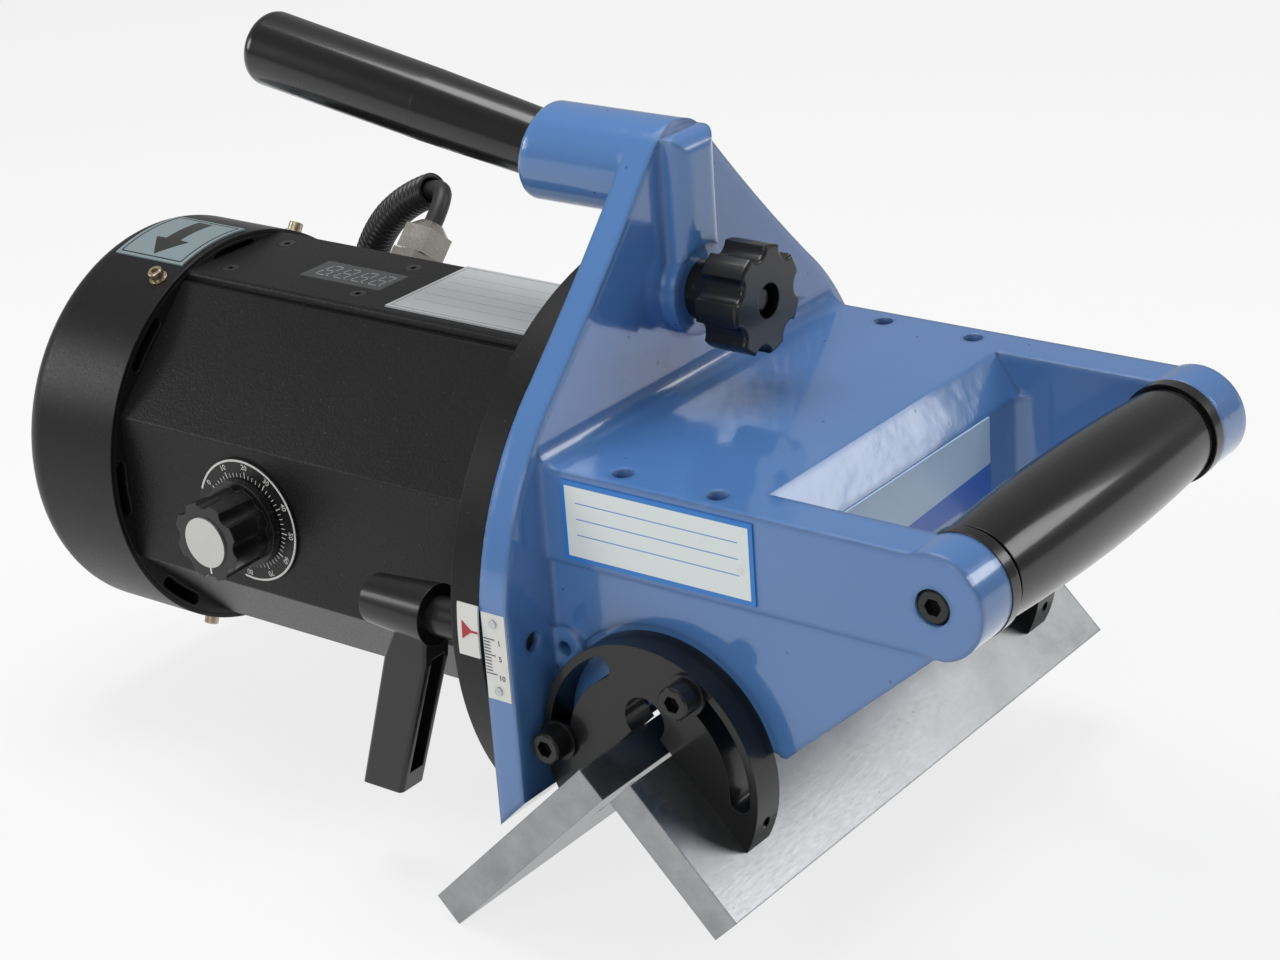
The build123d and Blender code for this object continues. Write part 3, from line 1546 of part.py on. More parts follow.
with BuildPart() as display_window:
    with Locations((display_back_x, display_low_y, cover_top_z)):
        Box(display_length, display_width, display_thickness, align=(Align.MIN, Align.MIN, Align.MAX))
keep(display_window, "display_window")

cover_screw = countersunk_screw(m4_radius, cover_screw_length)
with BuildPart() as cover_screws:
    for x, y in cover_screw_spots:
        with Locations((x, y, cover_top_z)):
            add(cover_screw)
keep(cover_screws, "cover_screws")

with BuildPart() as type_plate:
    with Locations((disc_back_x - type_plate_start, type_plate_low_y, cover_top_z)):
        Box(
            type_plate_length, type_plate_width, plate_skin, align=(Align.MAX, Align.MIN, Align.MIN)
        )
keep(type_plate, "type_plate")

board_half_length = housing_length / 2 - cover_pocket_margin - board_margin
board_half_width = cover_pocket_half_width - board_margin
board_middle_x = (housing_back_x + disc_back_x) / 2
display_middle_y = display_low_y + display_width / 2
with BuildPart() as circuit_board:
    with Locations((board_middle_x, 0, pocket_floor_z + standoff_height)):
        Box(
            2 * board_half_length,
            2 * board_half_width,
            board_thickness,
            align=(Align.CENTER, Align.CENTER, Align.MIN),
        )
        with GridLocations(
            2 * (board_half_length - 2 * standoff_radius), 2 * (board_half_width - 2 * standoff_radius), 2, 2
        ):
            Cylinder(
                standoff_radius, standoff_height, align=(Align.CENTER, Align.CENTER, Align.MAX)
            )
    with Locations(
        (
            display_back_x + display_length / 2,
            display_middle_y,
            pocket_floor_z + standoff_height + board_thickness,
        )
    ):
        Box(
            display_length - 3 * window_margin,
            display_width - 3 * window_margin,
            display_module_height,
            align=(Align.CENTER, Align.CENTER, Align.MIN),
        )
keep(circuit_board, "circuit_board")

# Speed dial on the near facet
with BuildPart() as speed_potentiometer:
    with Locations(dial_plane):
        Cylinder(pot_radius, pot_depth, align=(Align.CENTER, Align.CENTER, Align.MAX))
        Hole(pot_shaft_radius + running_clearance, pot_bore_depth)
keep(speed_potentiometer, "speed_potentiometer")

with BuildPart() as dial_plate:
    with Locations(dial_plane):
        Cylinder(dial_radius, dial_thickness, align=(Align.CENTER, Align.CENTER, Align.MIN))
        Cylinder(
            pot_shaft_radius + bore_clearance,
            dial_thickness,
            align=(Align.CENTER, Align.CENTER, Align.MIN),
            mode=Mode.SUBTRACT,
        )
keep(dial_plate, "dial_plate")

with BuildPart() as potentiometer_shaft:
    with Locations(dial_plane.offset(slide_clearance - pot_bore_depth)):
        Cylinder(
            pot_shaft_radius,
            pot_bore_depth - slide_clearance + pot_shaft_length,
            align=(Align.CENTER, Align.CENTER, Align.MIN),
        )
keep(potentiometer_shaft, "potentiometer_shaft")

knob_plane = dial_plane.offset(dial_thickness + knob_gap)
with BuildPart() as speed_knob:
    with Locations(knob_plane):
        Cylinder(knob_skirt_radius, knob_skirt_height, align=(Align.CENTER, Align.CENTER, Align.MIN))
        Cone(
            knob_body_radius, knob_top_radius, knob_height, align=(Align.CENTER, Align.CENTER, Align.MIN)
        )
        with Locations((0, 0, knob_skirt_height)):
            with PolarLocations(knob_top_radius + knob_flute_radius / 2, knob_flute_count):
                Cylinder(
                    knob_flute_radius,
                    knob_height,
                    align=(Align.CENTER, Align.CENTER, Align.MIN),
                    mode=Mode.SUBTRACT,
                )
        with Locations((0, 0, knob_height)):
            Cylinder(
                knob_cap_radius,
                2 * knob_cap_recess,
                mode=Mode.SUBTRACT,
            )
        Cylinder(
            pot_shaft_radius,
            pot_shaft_length - dial_thickness - knob_gap,
            align=(Align.CENTER, Align.CENTER, Align.MIN),
            mode=Mode.SUBTRACT,
        )
keep(speed_knob, "speed_knob")

with BuildPart() as knob_cap:
    with Locations(knob_plane.offset(knob_height - knob_cap_recess)):
        Cylinder(knob_cap_radius, 2 * knob_cap_recess, align=(Align.CENTER, Align.CENTER, Align.MIN))
keep(knob_cap, "knob_cap")

# Scale on the plate's near edge, and the plain labels
plate_middle_x = (plate_back_x + plate_front_x) / 2
scale_top_z = apex_z + scale_top_height
with BuildPart() as depth_scale:
    with Locations((plate_middle_x, -flat_half_width, scale_top_z)):
        Box(scale_width, plate_skin, scale_length, align=(Align.CENTER, Align.MAX, Align.MAX))
keep(depth_scale, "depth_scale")
with BuildPart() as scale_rivets:
    for z in (scale_top_z - rivet_inset, scale_top_z - scale_length + rivet_inset):
        spot = (plate_middle_x, -flat_half_width - plate_skin, z)
        with Locations(Plane(origin=spot, x_dir=(1, 0, 0), z_dir=(0, -1, 0))):
            Cylinder(rivet_radius, rivet_height, align=(Align.CENTER, Align.CENTER, Align.MIN))
keep(scale_rivets, "scale_rivets")
with BuildPart() as side_label:
    with Locations((apex_x - side_label_start, -body_half_width, top_z - side_label_drop)):
        Box(
            side_label_length, plate_skin, side_label_width, align=(Align.MIN, Align.MAX, Align.MAX)
        )
keep(side_label, "side_label")
with BuildPart() as apron_label:
    with Locations((apron_x, 0, top_z - apron_band_drop - apron_label_drop)):
        Box(
            plate_skin,
            2 * apron_label_half_width,
            apron_label_height,
            align=(Align.MIN, Align.CENTER, Align.MAX),
        )
keep(apron_label, "apron_label")

# Cable gland on the far upper facet
gland_foot = gland_plane.origin
gland_body_start = gland_collar_height
gland_nut_start = gland_collar_height + gland_body_height
gland_dome_start = gland_nut_start + gland_nut_height
gland_corner_radius = gland_flats / math.sqrt(3)
with BuildPart() as cable_gland:
    with Locations(gland_plane):
        Cylinder(
            gland_stem_radius,
            octagon_apothem - stator_radius,
            align=(Align.CENTER, Align.CENTER, Align.MAX),
        )
        Cylinder(gland_corner_radius, gland_collar_height, align=(Align.CENTER, Align.CENTER, Align.MIN))
    with BuildSketch(gland_plane.offset(gland_body_start)):
        RegularPolygon(gland_corner_radius, 6)
    extrude(amount=gland_body_height)
keep(cable_gland, "cable_gland")
with BuildPart() as gland_nut:
    with BuildSketch(gland_plane.offset(gland_nut_start)):
        RegularPolygon(gland_corner_radius, 6, rotation=gland_nut_turn)
    extrude(amount=gland_nut_height)
    with Locations(gland_plane.offset(gland_dome_start)):
        Cone(
            gland_flats / 2,
            cable_radius + gland_lip,
            gland_dome_height,
            align=(Align.CENTER, Align.CENTER, Align.MIN),
        )
keep(gland_nut, "gland_nut")

# Cord: from the gland through the hose, down behind the motor and to the coil
coil_center_x = gland_foot.X + coil_offset_x
coil_pitch = 2 * cable_radius + coil_turn_gap
coil_outer_radius = coil_middle_radius + coil_turns_per_layer * coil_pitch / 2
coil_inner_radius = coil_middle_radius - coil_turns_per_layer * coil_pitch / 2
coil_top_z = cable_radius + (coil_layers - 1) * coil_pitch
coil_near_y = coil_center_y - coil_outer_radius
coil_end_x = coil_center_x - 2 * cable_radius
coil_start_x = coil_center_x + 2 * cable_radius


def unit(vector):
    """Vector of length one in the same direction."""
    length = math.sqrt(sum(part * part for part in vector))
    return tuple(part / length for part in vector)


def difference(first, second):
    """Vector from the second point to the first."""
    return tuple(a - b for a, b in zip(first, second))


def bend_radii(points):
    """Radius for each inner corner of a route, from its shorter run and its turn."""
    radii = []
    for before, corner, after in zip(points, points[1:], points[2:]):
        first = difference(corner, before)
        second = difference(after, corner)
        shorter = min(math.hypot(*first), math.hypot(*second))
        cosine = sum(a * b for a, b in zip(unit(first), unit(second)))
        radii.append(bend_share * shorter / math.tan(math.acos(cosine) / 2))
    return radii


def point_near(points, corner, gap):
    """Point on a route at a distance past a corner, or before it if negative."""
    step = 1 if gap > 0 else -1
    toward = unit(difference(points[corner + step], points[corner]))
    return along(points[corner], toward, abs(gap))


cord_points = [
    (gland_foot.X + x, gland_foot.Y + y, gland_foot.Z + z)
    for x, y, z in cord_route
]
gland_top = along(tuple(gland_foot), tuple(gland_plane.z_dir), gland_dome_start + gland_dome_height)
cord_points = [
    gland_top,
    *cord_points,
    (coil_end_x - coil_run_in, coil_near_y, coil_top_z),
    (coil_end_x, coil_near_y, coil_top_z),
]
cord_radii = bend_radii(cord_points)
print("cord bend radii", [round(radius, 1) for radius in cord_radii])
print("cord points", [tuple(round(v, 1) for v in p) for p in cord_points])


def tube(points, radii, radius, bore=0):
    """Round tube along a route with rounded corners."""
    with BuildPart() as piece:
        with BuildLine() as route:
            FilletPolyline(*points, radius=radii)
        start = Plane(origin=points[0], z_dir=difference(points[1], points[0]))
        with BuildSketch(start):
            Circle(radius)
            if bore:
                Circle(bore, mode=Mode.SUBTRACT)
        sweep(path=route.wires()[0])
    length = route.wires()[0].length
    expected = length * math.pi * (radius**2 - bore**2)
    print("tube length", round(length, 1), "volume ratio", round(piece.part.volume / expected, 4))
    return piece


power_cable = tube(cord_points, cord_radii, cable_radius)
keep(power_cable, "power_cable")


# Hose on the cord: ribs along it, then the bore
hose_start = point_near(cord_points, corner_count_before_conduit, conduit_mouth_gap)
hose_end = point_near(cord_points, corner_count_to_conduit_end + 1, -conduit_tail_gap)
hose_corners = cord_points[corner_count_before_conduit + 1 : corner_count_to_conduit_end + 1]
hose_points = [hose_start, *hose_corners, hose_end]
hose_radii = cord_radii[corner_count_before_conduit : corner_count_to_conduit_end]
with BuildLine() as hose_line:
    FilletPolyline(*hose_points, radius=hose_radii)
hose_path = hose_line.wires()[0]
hose_length = hose_path.length
rib_count = math.floor(hose_length / conduit_pitch)
rib_reach = conduit_crest / 2 + conduit_slope
rib_foot_radius = conduit_radius - conduit_groove - rib_overlap
rib_profile = (
    (-rib_reach, rib_foot_radius),
    (-conduit_crest / 2, conduit_radius),
    (conduit_crest / 2, conduit_radius),
    (rib_reach, rib_foot_radius),
)


def hose_rib(number):
    """One rib of the hose, a body of four round sections square to the route."""
    distance = (number + 1 / 2) * hose_length / rib_count
    middle = hose_path.position_at(distance, position_mode=PositionMode.LENGTH)
    heading = hose_path.tangent_at(distance, position_mode=PositionMode.LENGTH)
    with BuildPart() as rib:
        for offset, radius in rib_profile:
            with BuildSketch(Plane(origin=middle + heading * offset, x_dir=(0, 1, 0), z_dir=heading)):
                Circle(radius)
        loft(ruled=True)
    return rib.part


print("hose", round(hose_length, 1), "ribs", rib_count)
hose_ribs = [hose_rib(number) for number in range(rib_count)]
hose_plane = Plane(origin=hose_start, x_dir=(0, 1, 0), z_dir=difference(hose_points[1], hose_start))
with BuildPart() as cable_conduit:
    with BuildSketch(hose_plane):
        Circle(conduit_radius - conduit_groove)
    sweep(path=hose_path)
    add(hose_ribs)
    with BuildSketch(hose_plane):
        Circle(conduit_bore_radius)
    sweep(path=hose_path, mode=Mode.SUBTRACT)
keep(cable_conduit, "cable_conduit")
print("hose valid", cable_conduit.part.is_valid, "solids", len(cable_conduit.part.solids()))

# Coil: four layers of loops that spiral in and out, put away behind the machine
quarters_per_layer = 4 * coil_turns_per_layer
coil_quarters = coil_layers * quarters_per_layer
spiral_rate = coil_pitch / (2 * math.pi)
climb_share = 2 * coil_pitch / math.pi


def coil_node(number):
    """Point and direction of the coil's centre line after a number of quarter turns."""
    turn = -math.pi / 2 - number * math.pi / 2
    layer, step = divmod(number, quarters_per_layer)
    inward = layer % 2 == 0
    travel = step * coil_pitch / 4
    radius = coil_outer_radius - travel if inward else coil_inner_radius + travel
    height = cable_radius + layer * coil_pitch
    reversal = step == 0
    end = number in (0, coil_quarters)
    if number == coil_quarters:
        radius = coil_outer_radius
        height -= coil_pitch
    elif reversal and number > 0:
        height -= coil_pitch / 2
    rate = 0 if reversal else (-spiral_rate if inward else spiral_rate)
    climb = climb_share if reversal and not end else 0
    outward = (math.cos(turn), math.sin(turn))
    onward = (math.sin(turn), -math.cos(turn))
    point = (
        coil_center_x + radius * outward[0],
        coil_center_y + radius * outward[1],
        height,
    )
    heading = (
        radius * onward[0] + rate * outward[0],
        radius * onward[1] + rate * outward[1],
        climb,
    )
    return point, unit(heading)


def biarc(start, start_heading, end, end_heading):
    """Middle point and middle direction of two arcs that join two points smoothly."""
    span = difference(end, start)
    both = tuple(a + b for a, b in zip(start_heading, end_heading))
    along_both = sum(a * b for a, b in zip(span, both))
    cosine = sum(a * b for a, b in zip(start_heading, end_heading))
    spread = 2 * (1 - cosine)
    reach = (-along_both + math.sqrt(along_both**2 + spread * sum(a * a for a in span))) / spread
    first = along(start, start_heading, reach)
    second = along(end, end_heading, -reach)
    middle = tuple((a + b) / 2 for a, b in zip(first, second))
    return middle, unit(difference(second, first))


coil_nodes = [coil_node(number) for number in range(coil_quarters + 1)]
coil_begin = (coil_start_x, coil_near_y, cable_radius)
coil_finish = (coil_end_x, coil_near_y, coil_top_z)
print("coil begins", coil_nodes[0], "ends", coil_nodes[-1])
with BuildPart() as cable_coil:
    with BuildLine() as coil_line:
        Line(coil_begin, coil_nodes[0][0])
        for (start, heading), (end, end_heading) in zip(coil_nodes, coil_nodes[1:]):
            middle, middle_heading = biarc(start, heading, end, end_heading)
            TangentArc(start, middle, tangent=heading)
            TangentArc(middle, end, tangent=middle_heading)
        Line(coil_nodes[-1][0], coil_finish)
    with BuildSketch(Plane(origin=coil_begin, x_dir=(0, 1, 0), z_dir=(-1, 0, 0))):
        Circle(cable_radius)
    sweep(path=coil_line.wires()[0])
keep(cable_coil, "cable_coil")
coil_length = coil_line.wires()[0].length
coil_share = cable_coil.part.volume / (coil_length * math.pi * cable_radius**2)
print("coil length", round(coil_length, 1), "volume ratio", round(coil_share, 4))


def least_gap(wire, radius, apart):
    """Smallest gap between parts of a wound tube that are some way apart along it."""
    count = math.floor(wire.length / radius)
    spots = [
        tuple(wire.position_at(number / count * wire.length, position_mode=PositionMode.LENGTH))
        for number in range(count + 1)
    ]
    skip = math.ceil(apart / radius)
    least = min(
        math.dist(first, second)
        for number, first in enumerate(spots)
        for second in spots[number + skip :]
    )
    return least - 2 * radius


print("coil gap", round(least_gap(coil_line.wires()[0], cable_radius, 2 * coil_inner_radius), 2))

# Lead from the coil to the plug, the plug and its pins
plug_axis_z = plug_height / 2
plug_start_x = coil_center_x + plug_reach
lead_points = [
    coil_begin,
    (coil_begin[0] + lead_first_run, coil_near_y, cable_radius),
    (plug_start_x - lead_last_run, coil_near_y, plug_axis_z),
    (plug_start_x, coil_near_y, plug_axis_z),
]
lead_radii = bend_radii(lead_points)
print("lead bend radii", [round(radius, 1) for radius in lead_radii])
plug_lead = tube(lead_points, lead_radii, cable_radius)
keep(plug_lead, "plug_lead")

body_start_x = plug_start_x + plug_boot_length
body_end_x = body_start_x + plug_body_length
with BuildPart() as plug:
    with Locations(x_plane(plug_start_x, coil_near_y, plug_axis_z, 1)):
        Cone(
            cable_radius + gland_lip,
            plug_boot_radius,
            plug_boot_length,
            align=(Align.CENTER, Align.CENTER, Align.MIN),
        )
    with BuildSketch(Plane.YZ.offset(body_start_x)):
        with Locations((coil_near_y, plug_axis_z)):
            RectangleRounded(2 * plug_half_width, plug_height, plug_rounding)
    extrude(amount=plug_body_length)
    back_rim = edges().group_by(Axis.X)[-1]
    fillet(back_rim, plug_rounding / 2)
keep(plug, "plug")
with BuildPart() as plug_pins:
    for side in (-1, 1):
        with Locations(x_plane(body_end_x, coil_near_y + side * pin_spacing / 2, plug_axis_z, 1)):
            Cylinder(pin_radius, pin_length, align=(Align.CENTER, Align.CENTER, Align.MIN))
keep(plug_pins, "plug_pins")
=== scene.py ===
import math

import bmesh
import bpy
import numpy as np
from bpy.props import FloatProperty, FloatVectorProperty, IntProperty, PointerProperty
from mathutils import Matrix, Vector


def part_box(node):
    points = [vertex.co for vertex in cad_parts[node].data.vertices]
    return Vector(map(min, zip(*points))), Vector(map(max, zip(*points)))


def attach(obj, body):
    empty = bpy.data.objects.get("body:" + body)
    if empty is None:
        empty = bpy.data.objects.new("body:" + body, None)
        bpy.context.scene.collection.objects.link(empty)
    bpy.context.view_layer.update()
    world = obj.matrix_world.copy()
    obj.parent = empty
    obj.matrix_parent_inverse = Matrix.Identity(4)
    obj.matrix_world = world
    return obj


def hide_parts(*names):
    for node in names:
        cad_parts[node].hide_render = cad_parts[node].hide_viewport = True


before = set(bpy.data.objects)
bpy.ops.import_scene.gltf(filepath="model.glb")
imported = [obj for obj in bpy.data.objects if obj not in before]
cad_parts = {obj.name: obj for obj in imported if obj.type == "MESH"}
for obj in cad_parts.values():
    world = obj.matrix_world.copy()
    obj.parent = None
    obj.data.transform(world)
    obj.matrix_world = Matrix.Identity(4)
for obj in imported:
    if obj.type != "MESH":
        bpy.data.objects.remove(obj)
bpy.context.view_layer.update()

bl_info = {
    "name": "Edge milling machine",
    "version": (1, 0, 0),
    "blender": (4, 5, 0),
    "location": "3D View > Sidebar > Edge Mill",
    "description": "Dresses an edge milling machine with its cord, hose, prints and finishes",
    "category": "Object",
}

mm = 0.001

# Camera of the photograph: its place in metres, and its right, up and back directions
camera_place = (0.7013, -0.8471, 0.6025)
camera_right = (0.7987471, 0.5979156, -0.0670813)
camera_up = (-0.1879903, 0.3539225, 0.9161869)
camera_back = (0.5715441, -0.7191911, 0.3950969)

# Main places of the machine in millimetres
motor_height = 119.68
cord_radius = 4.3
free_route = (
    (-142.2, 77.8, 197.5),
    (-142.2, 87.7, 207.4),
    (-151.7, 95.6, 209.4),
    (-173.8, 96.6, 198.9),
    (-191.2, 97.5, 184.6),
    (-206.2, 100.5, 163.1),
    (-211.8, 105.5, 134.6),
    (-212.2, 110.0, 106.6),
    (-210.2, 113.0, 78.6),
    (-198.2, 116.0, 54.6),
    (-178.2, 118.5, 37.6),
    (-152.2, 120.3, 31.6),
    (-133.8, 120.3, 31.6),
)
lead_route = (
    (-116.6, 120.35, 4.3),
    (-100.6, 120.35, 4.3),
    (-78.2, 120.35, 12.0),
    (-62.2, 120.35, 12.0),
)
coil_middle = (-125.2, 182.0)
coil_outer_radius = 61.65
coil_pitch = 9.1
coil_layers = 4
coil_turns = 3
coil_steps = 16
coil_drop_turns = 0.5

# Corrugated hose: the points of the free route that it runs between, and its mesh
hose_first_point = 2
hose_first_offset = 6.0
hose_last_point = 8
hose_last_offset = 4.0
hose_wall = 1.1
hose_crest_share = 1.3
hose_rib_steps = 8
hose_inner_steps = 60
hose_round_steps = 48

# Speed dial, seen from its side: angles run from +X towards +Z
dial_middle = (-118.2, -79.0, 119.68)
dial_print_drop = 1.2
dial_first_angle = 147.0
dial_last_angle = -96.0
dial_numbers = range(0, 90, 10)
dial_ring_radius = 26.7
dial_ring_half_width = 0.45
dial_ring_start_gap = 12.0
dial_ring_end_gap = 6.0
dial_ring_steps = 120
dial_tick_count = 40
dial_ticks_per_number = 5
dial_tick_start = 19.3
dial_long_tick = (22.2, 0.22)
dial_short_tick = (21.2, 0.15)
dial_numeral_radius = 24.2
knob_line_angle = -87.0
knob_line_radii = (11.4, 14.2)
knob_line_half_width = 0.45

# Depth scale's print, and the pointer bent round the flange disc
scale_first_drop = 10.7
scale_spacing = 1.32
scale_tick_count = 12
scale_tick_inset = 0.3
scale_tick_half_width = 0.17
scale_long_tick = 5.2
scale_short_tick = 3.0
scale_numbers = {0: "1", 5: "5", 11: "10"}
scale_numeral_inset = 7.6
scale_numeral_drop = 1.1
scale_numeral_size = 3.2
pointer_radius = 125.9
pointer_insets = (2.3, 6.6, 6.7)
pointer_end_inset = 0.2
pointer_half_widths = (3.7, 0.42, 0.4, 0.4)
pointer_extra_height = 0.1

# Turn arrow and its border, in degrees round the motor
arrow_radius = 89.9
arrow_shaft_angles = (85.5, 98.5)
arrow_barb_angle = 98.7
arrow_head_angles = (99.0, 106.5)
arrow_shaft_steps = 14
arrow_head_steps = 8
arrow_shaft_half_width = 4.2
arrow_head_half_width = 9.5
arrow_tip_half_width = 0.1
arrow_border_angles = (84.2, 107.8)
arrow_border_inset = 2.2
arrow_border_half_width = 0.3
arrow_border_steps = 30

# Figures of the display
figure_count = 4
figure_start = 5.5
figure_pitch = 10.0
figure_width = 5.6
figure_height = 11.0
figure_slant = 0.9
figure_gap = 0.7
figure_side_gap = 0.1
figure_half_width = 0.42
figure_dot_offset = 1.5
figure_dot_half_width = 0.45

# Print of the blank labels
form_border = 1.9
form_field_inset = 6.5
form_line_half_width = 0.25
form_line_shares = (0.26, 0.46, 0.66, 0.84)
stripe_slope = 0.05
stripe_share = 0.3
stripe_softness = 0.3
type_border_insets = (1.6, 2.0)
type_field_inset = 6.0
type_row_half_width = 0.18
type_row_shares = (0.22, 0.36, 0.5, 0.64, 0.78)

# Stage: lamps by name with their place in metres, the setting of their power and their width in
# metres, then the floor in millimetres
lamps = {
    "key_lamp": ((-0.2, 0.1, 1.6), "key_power", 0.9),
    "front_lamp": ((0.2, -1.7, 1.0), "fill_power", 0.6),
    "side_lamp": ((-1.6, -1.0, 0.8), "fill_power", 0.6),
    "back_lamp": ((1.3, 1.2, 1.1), "fill_power", 0.7),
}
lamp_target = (0.0, 0.0, 0.12)
floor_half_size = 4000
floor_shade = 0.8
floor_glow = 0.78

# Finish of each solid
finish_nodes = {
    "blue_enamel": ("main_casting",),
    "black_housing": ("motor_housing", "control_cover"),
    "black_cast": ("flange_disc", "rear_bearing_plate", "end_shroud"),
    "gloss_black": ("front_grip", "rear_handle_collar", "rear_handle_grip"),
    "black_plastic": (
        "star_knob",
        "clamp_lever",
        "speed_knob",
        "cooling_fan",
        "speed_potentiometer",
        "plug",
        "cable_conduit",
    ),
    "black_steel": (
        "near_sector_plate",
        "far_sector_plate",
        "casting_screws",
        "motor_screws",
        "cover_screws",
        "cutter_bolt",
        "bar_screws",
        "sector_washers",
        "star_knob_stud",
        "clamp_insert",
    ),
    "ground_steel": ("long_guide_bar", "short_guide_bar", "motor_shaft", "swing_pivot_pin"),
    "milled_steel": ("cutter_head", "rotor", "stator", "cutter_washer", "shaft_bearings"),
    "carbide": ("cutting_inserts",),
    "zinc_steel": (
        "rear_handle_rod",
        "clamp_spring",
        "potentiometer_shaft",
        "plug_pins",
        "scale_rivets",
    ),
    "yellow_zinc": ("shroud_screws", "shroud_washers"),
    "nickel": ("cable_gland", "gland_nut"),
    "copper_winding": ("windings",),
    "silver_cap": ("knob_cap", "clamp_button"),
    "dial_black": ("dial_plate",),
    "white_plate": ("depth_scale", "pointer_plate"),
    "form_label": ("side_label",),
    "front_label": ("apron_label",),
    "type_label": ("type_plate",),
    "arrow_label": ("arrow_plate",),
    "dark_glass": ("display_window",),
    "green_board": ("circuit_board",),
    "black_rubber": ("power_cable", "cable_coil", "plug_lead"),
}


class Signal:
    """A number that changes over a surface, written in sums like any number."""

    def __init__(self, finish, socket):
        self.finish = finish
        self.socket = socket

    def combine(self, operation, *values):
        """The Math node of an operation on values or signals."""
        return self.finish.node("ShaderNodeMath", {"operation": operation}, dict(enumerate(values)))

    def __add__(self, other):
        return self.combine("ADD", self, other)

    def __radd__(self, other):
        return self.combine("ADD", other, self)

    def __sub__(self, other):
        return self.combine("SUBTRACT", self, other)

    def __rsub__(self, other):
        return self.combine("SUBTRACT", other, self)

    def __mul__(self, other):
        return self.combine("MULTIPLY", self, other)

    def __rmul__(self, other):
        return self.combine("MULTIPLY", other, self)

    def __abs__(self):
        return self.combine("ABSOLUTE", self)

    def above(self, edge, softness):
        """From 0 to 1 as the signal passes an edge, over a soft width."""
        settings = {"interpolation_type": "SMOOTHSTEP"}
        values = {"Value": self, "From Min": edge - softness / 2, "From Max": edge + softness / 2}
        return self.finish.node("ShaderNodeMapRange", settings, values)


class Finish:
    """Node tree of one finish, with its Principled shader."""

    def __init__(self, name, **constants):
        self.material = bpy.data.materials.new(f"{name}_finish")
        self.material.use_nodes = True
        self.tree = self.material.node_tree
        self.tree.nodes.clear()
        self.shader = self.place("ShaderNodeBsdfPrincipled")
        self.set(**constants)
        self.places = self.node("ShaderNodeTexCoord", {}, {}, "Object")
        output = self.place("ShaderNodeOutputMaterial")
        self.tree.links.new(self.shader.outputs["BSDF"], output.inputs["Surface"])

    def place(self, kind):
        """A bare node in the tree."""
        return self.tree.nodes.new(kind)

    def fill(self, socket, value):
        """Links a signal to a socket, or writes a value in it."""
        if isinstance(value, Signal):
            self.tree.links.new(value.socket, socket)
        elif socket.type == "RGBA" and len(value) == 3:
            socket.default_value = (*value, 1)
        else:
            socket.default_value = value

    def node(self, kind, settings, values, output=0):
        """A node with its settings made first, then its values or links, as a signal."""
        node = self.place(kind)
        for name, value in settings.items():
            setattr(node, name, value)
        for name, value in values.items():
            self.fill(node.inputs[name], value)
        return Signal(self, node.outputs[output])

    def set(self, **values):
        """Sets the shader's own sockets, with underscores for spaces in their names."""
        for name, value in values.items():
            self.fill(self.shader.inputs[name.replace("_", " ")], value)

    def noise(self, scale, detail=2.0, roughness=0.5, stretch=(1, 1, 1)):
        """Soft noise from 0 to 1, its scale in blobs per metre along each axis."""
        where = self.node("ShaderNodeMapping", {}, {"Vector": self.places, "Scale": stretch})
        values = {"Vector": where, "Scale": scale, "Detail": detail, "Roughness": roughness}
        return self.node("ShaderNodeTexNoise", {}, values, "Fac")

    def cells(self, scale):
        """Distance to the nearest of scattered points, its scale in points per metre."""
        return self.node("ShaderNodeTexVoronoi", {}, {"Vector": self.places, "Scale": scale}, "Distance")

    def axes(self):
        """The three coordinates of the surface in metres."""
        return [self.node("ShaderNodeSeparateXYZ", {}, {"Vector": self.places}, name) for name in "XYZ"]

    def mix(self, share, first, second):
        """Colour between two colours."""
        values = {0: share, 6: first, 7: second}
        return self.node("ShaderNodeMix", {"data_type": "RGBA"}, values, 2)

    def line(self, place, middle, half_width, softness=0.1 * mm):
        """1 where a coordinate is within a line's half width of its middle."""
        return 1 - abs(place - middle).above(half_width, softness)

    def relief(self, height, edge_radius=0):
        """Bumps the surface by a height in millimetres, over edges rounded to a radius."""
        values = {"Strength": 1.0, "Distance": mm, "Height": height}
        if edge_radius:
            values["Normal"] = self.node("ShaderNodeBevel", {"samples": 6}, {"Radius": edge_radius})
        self.set(Normal=self.node("ShaderNodeBump", {}, values))


def enamel_finish(settings):
    """Thick glossy blue enamel over a rough casting: slow waves, small runs and soft edges."""
    finish = Finish("blue_enamel", Coat_Roughness=0.05, IOR=1.5)
    waves = finish.noise(scale=42, detail=2)
    runs = finish.noise(scale=170, detail=3, roughness=0.6)
    peel = finish.noise(scale=1000, detail=1)
    dull = finish.noise(scale=14, detail=3)
    pits = 1 - finish.cells(scale=70).above(edge=0.05, softness=0.03)
    deep = [0.72 * part for part in settings.colour]
    colour = finish.mix(dull * 0.35, settings.colour, deep)
    finish.set(
        Base_Color=finish.mix(pits * 0.6, colour, (0.02, 0.035, 0.07)),
        Roughness=settings.roughness + runs * 0.08,
        Coat_Weight=0.95 - dull * 0.2,
    )
    height = waves * settings.waviness + runs * (settings.waviness * 0.3) + peel * 0.008
    finish.relief(height - pits * 0.05, settings.edge_radius)
    return finish.material


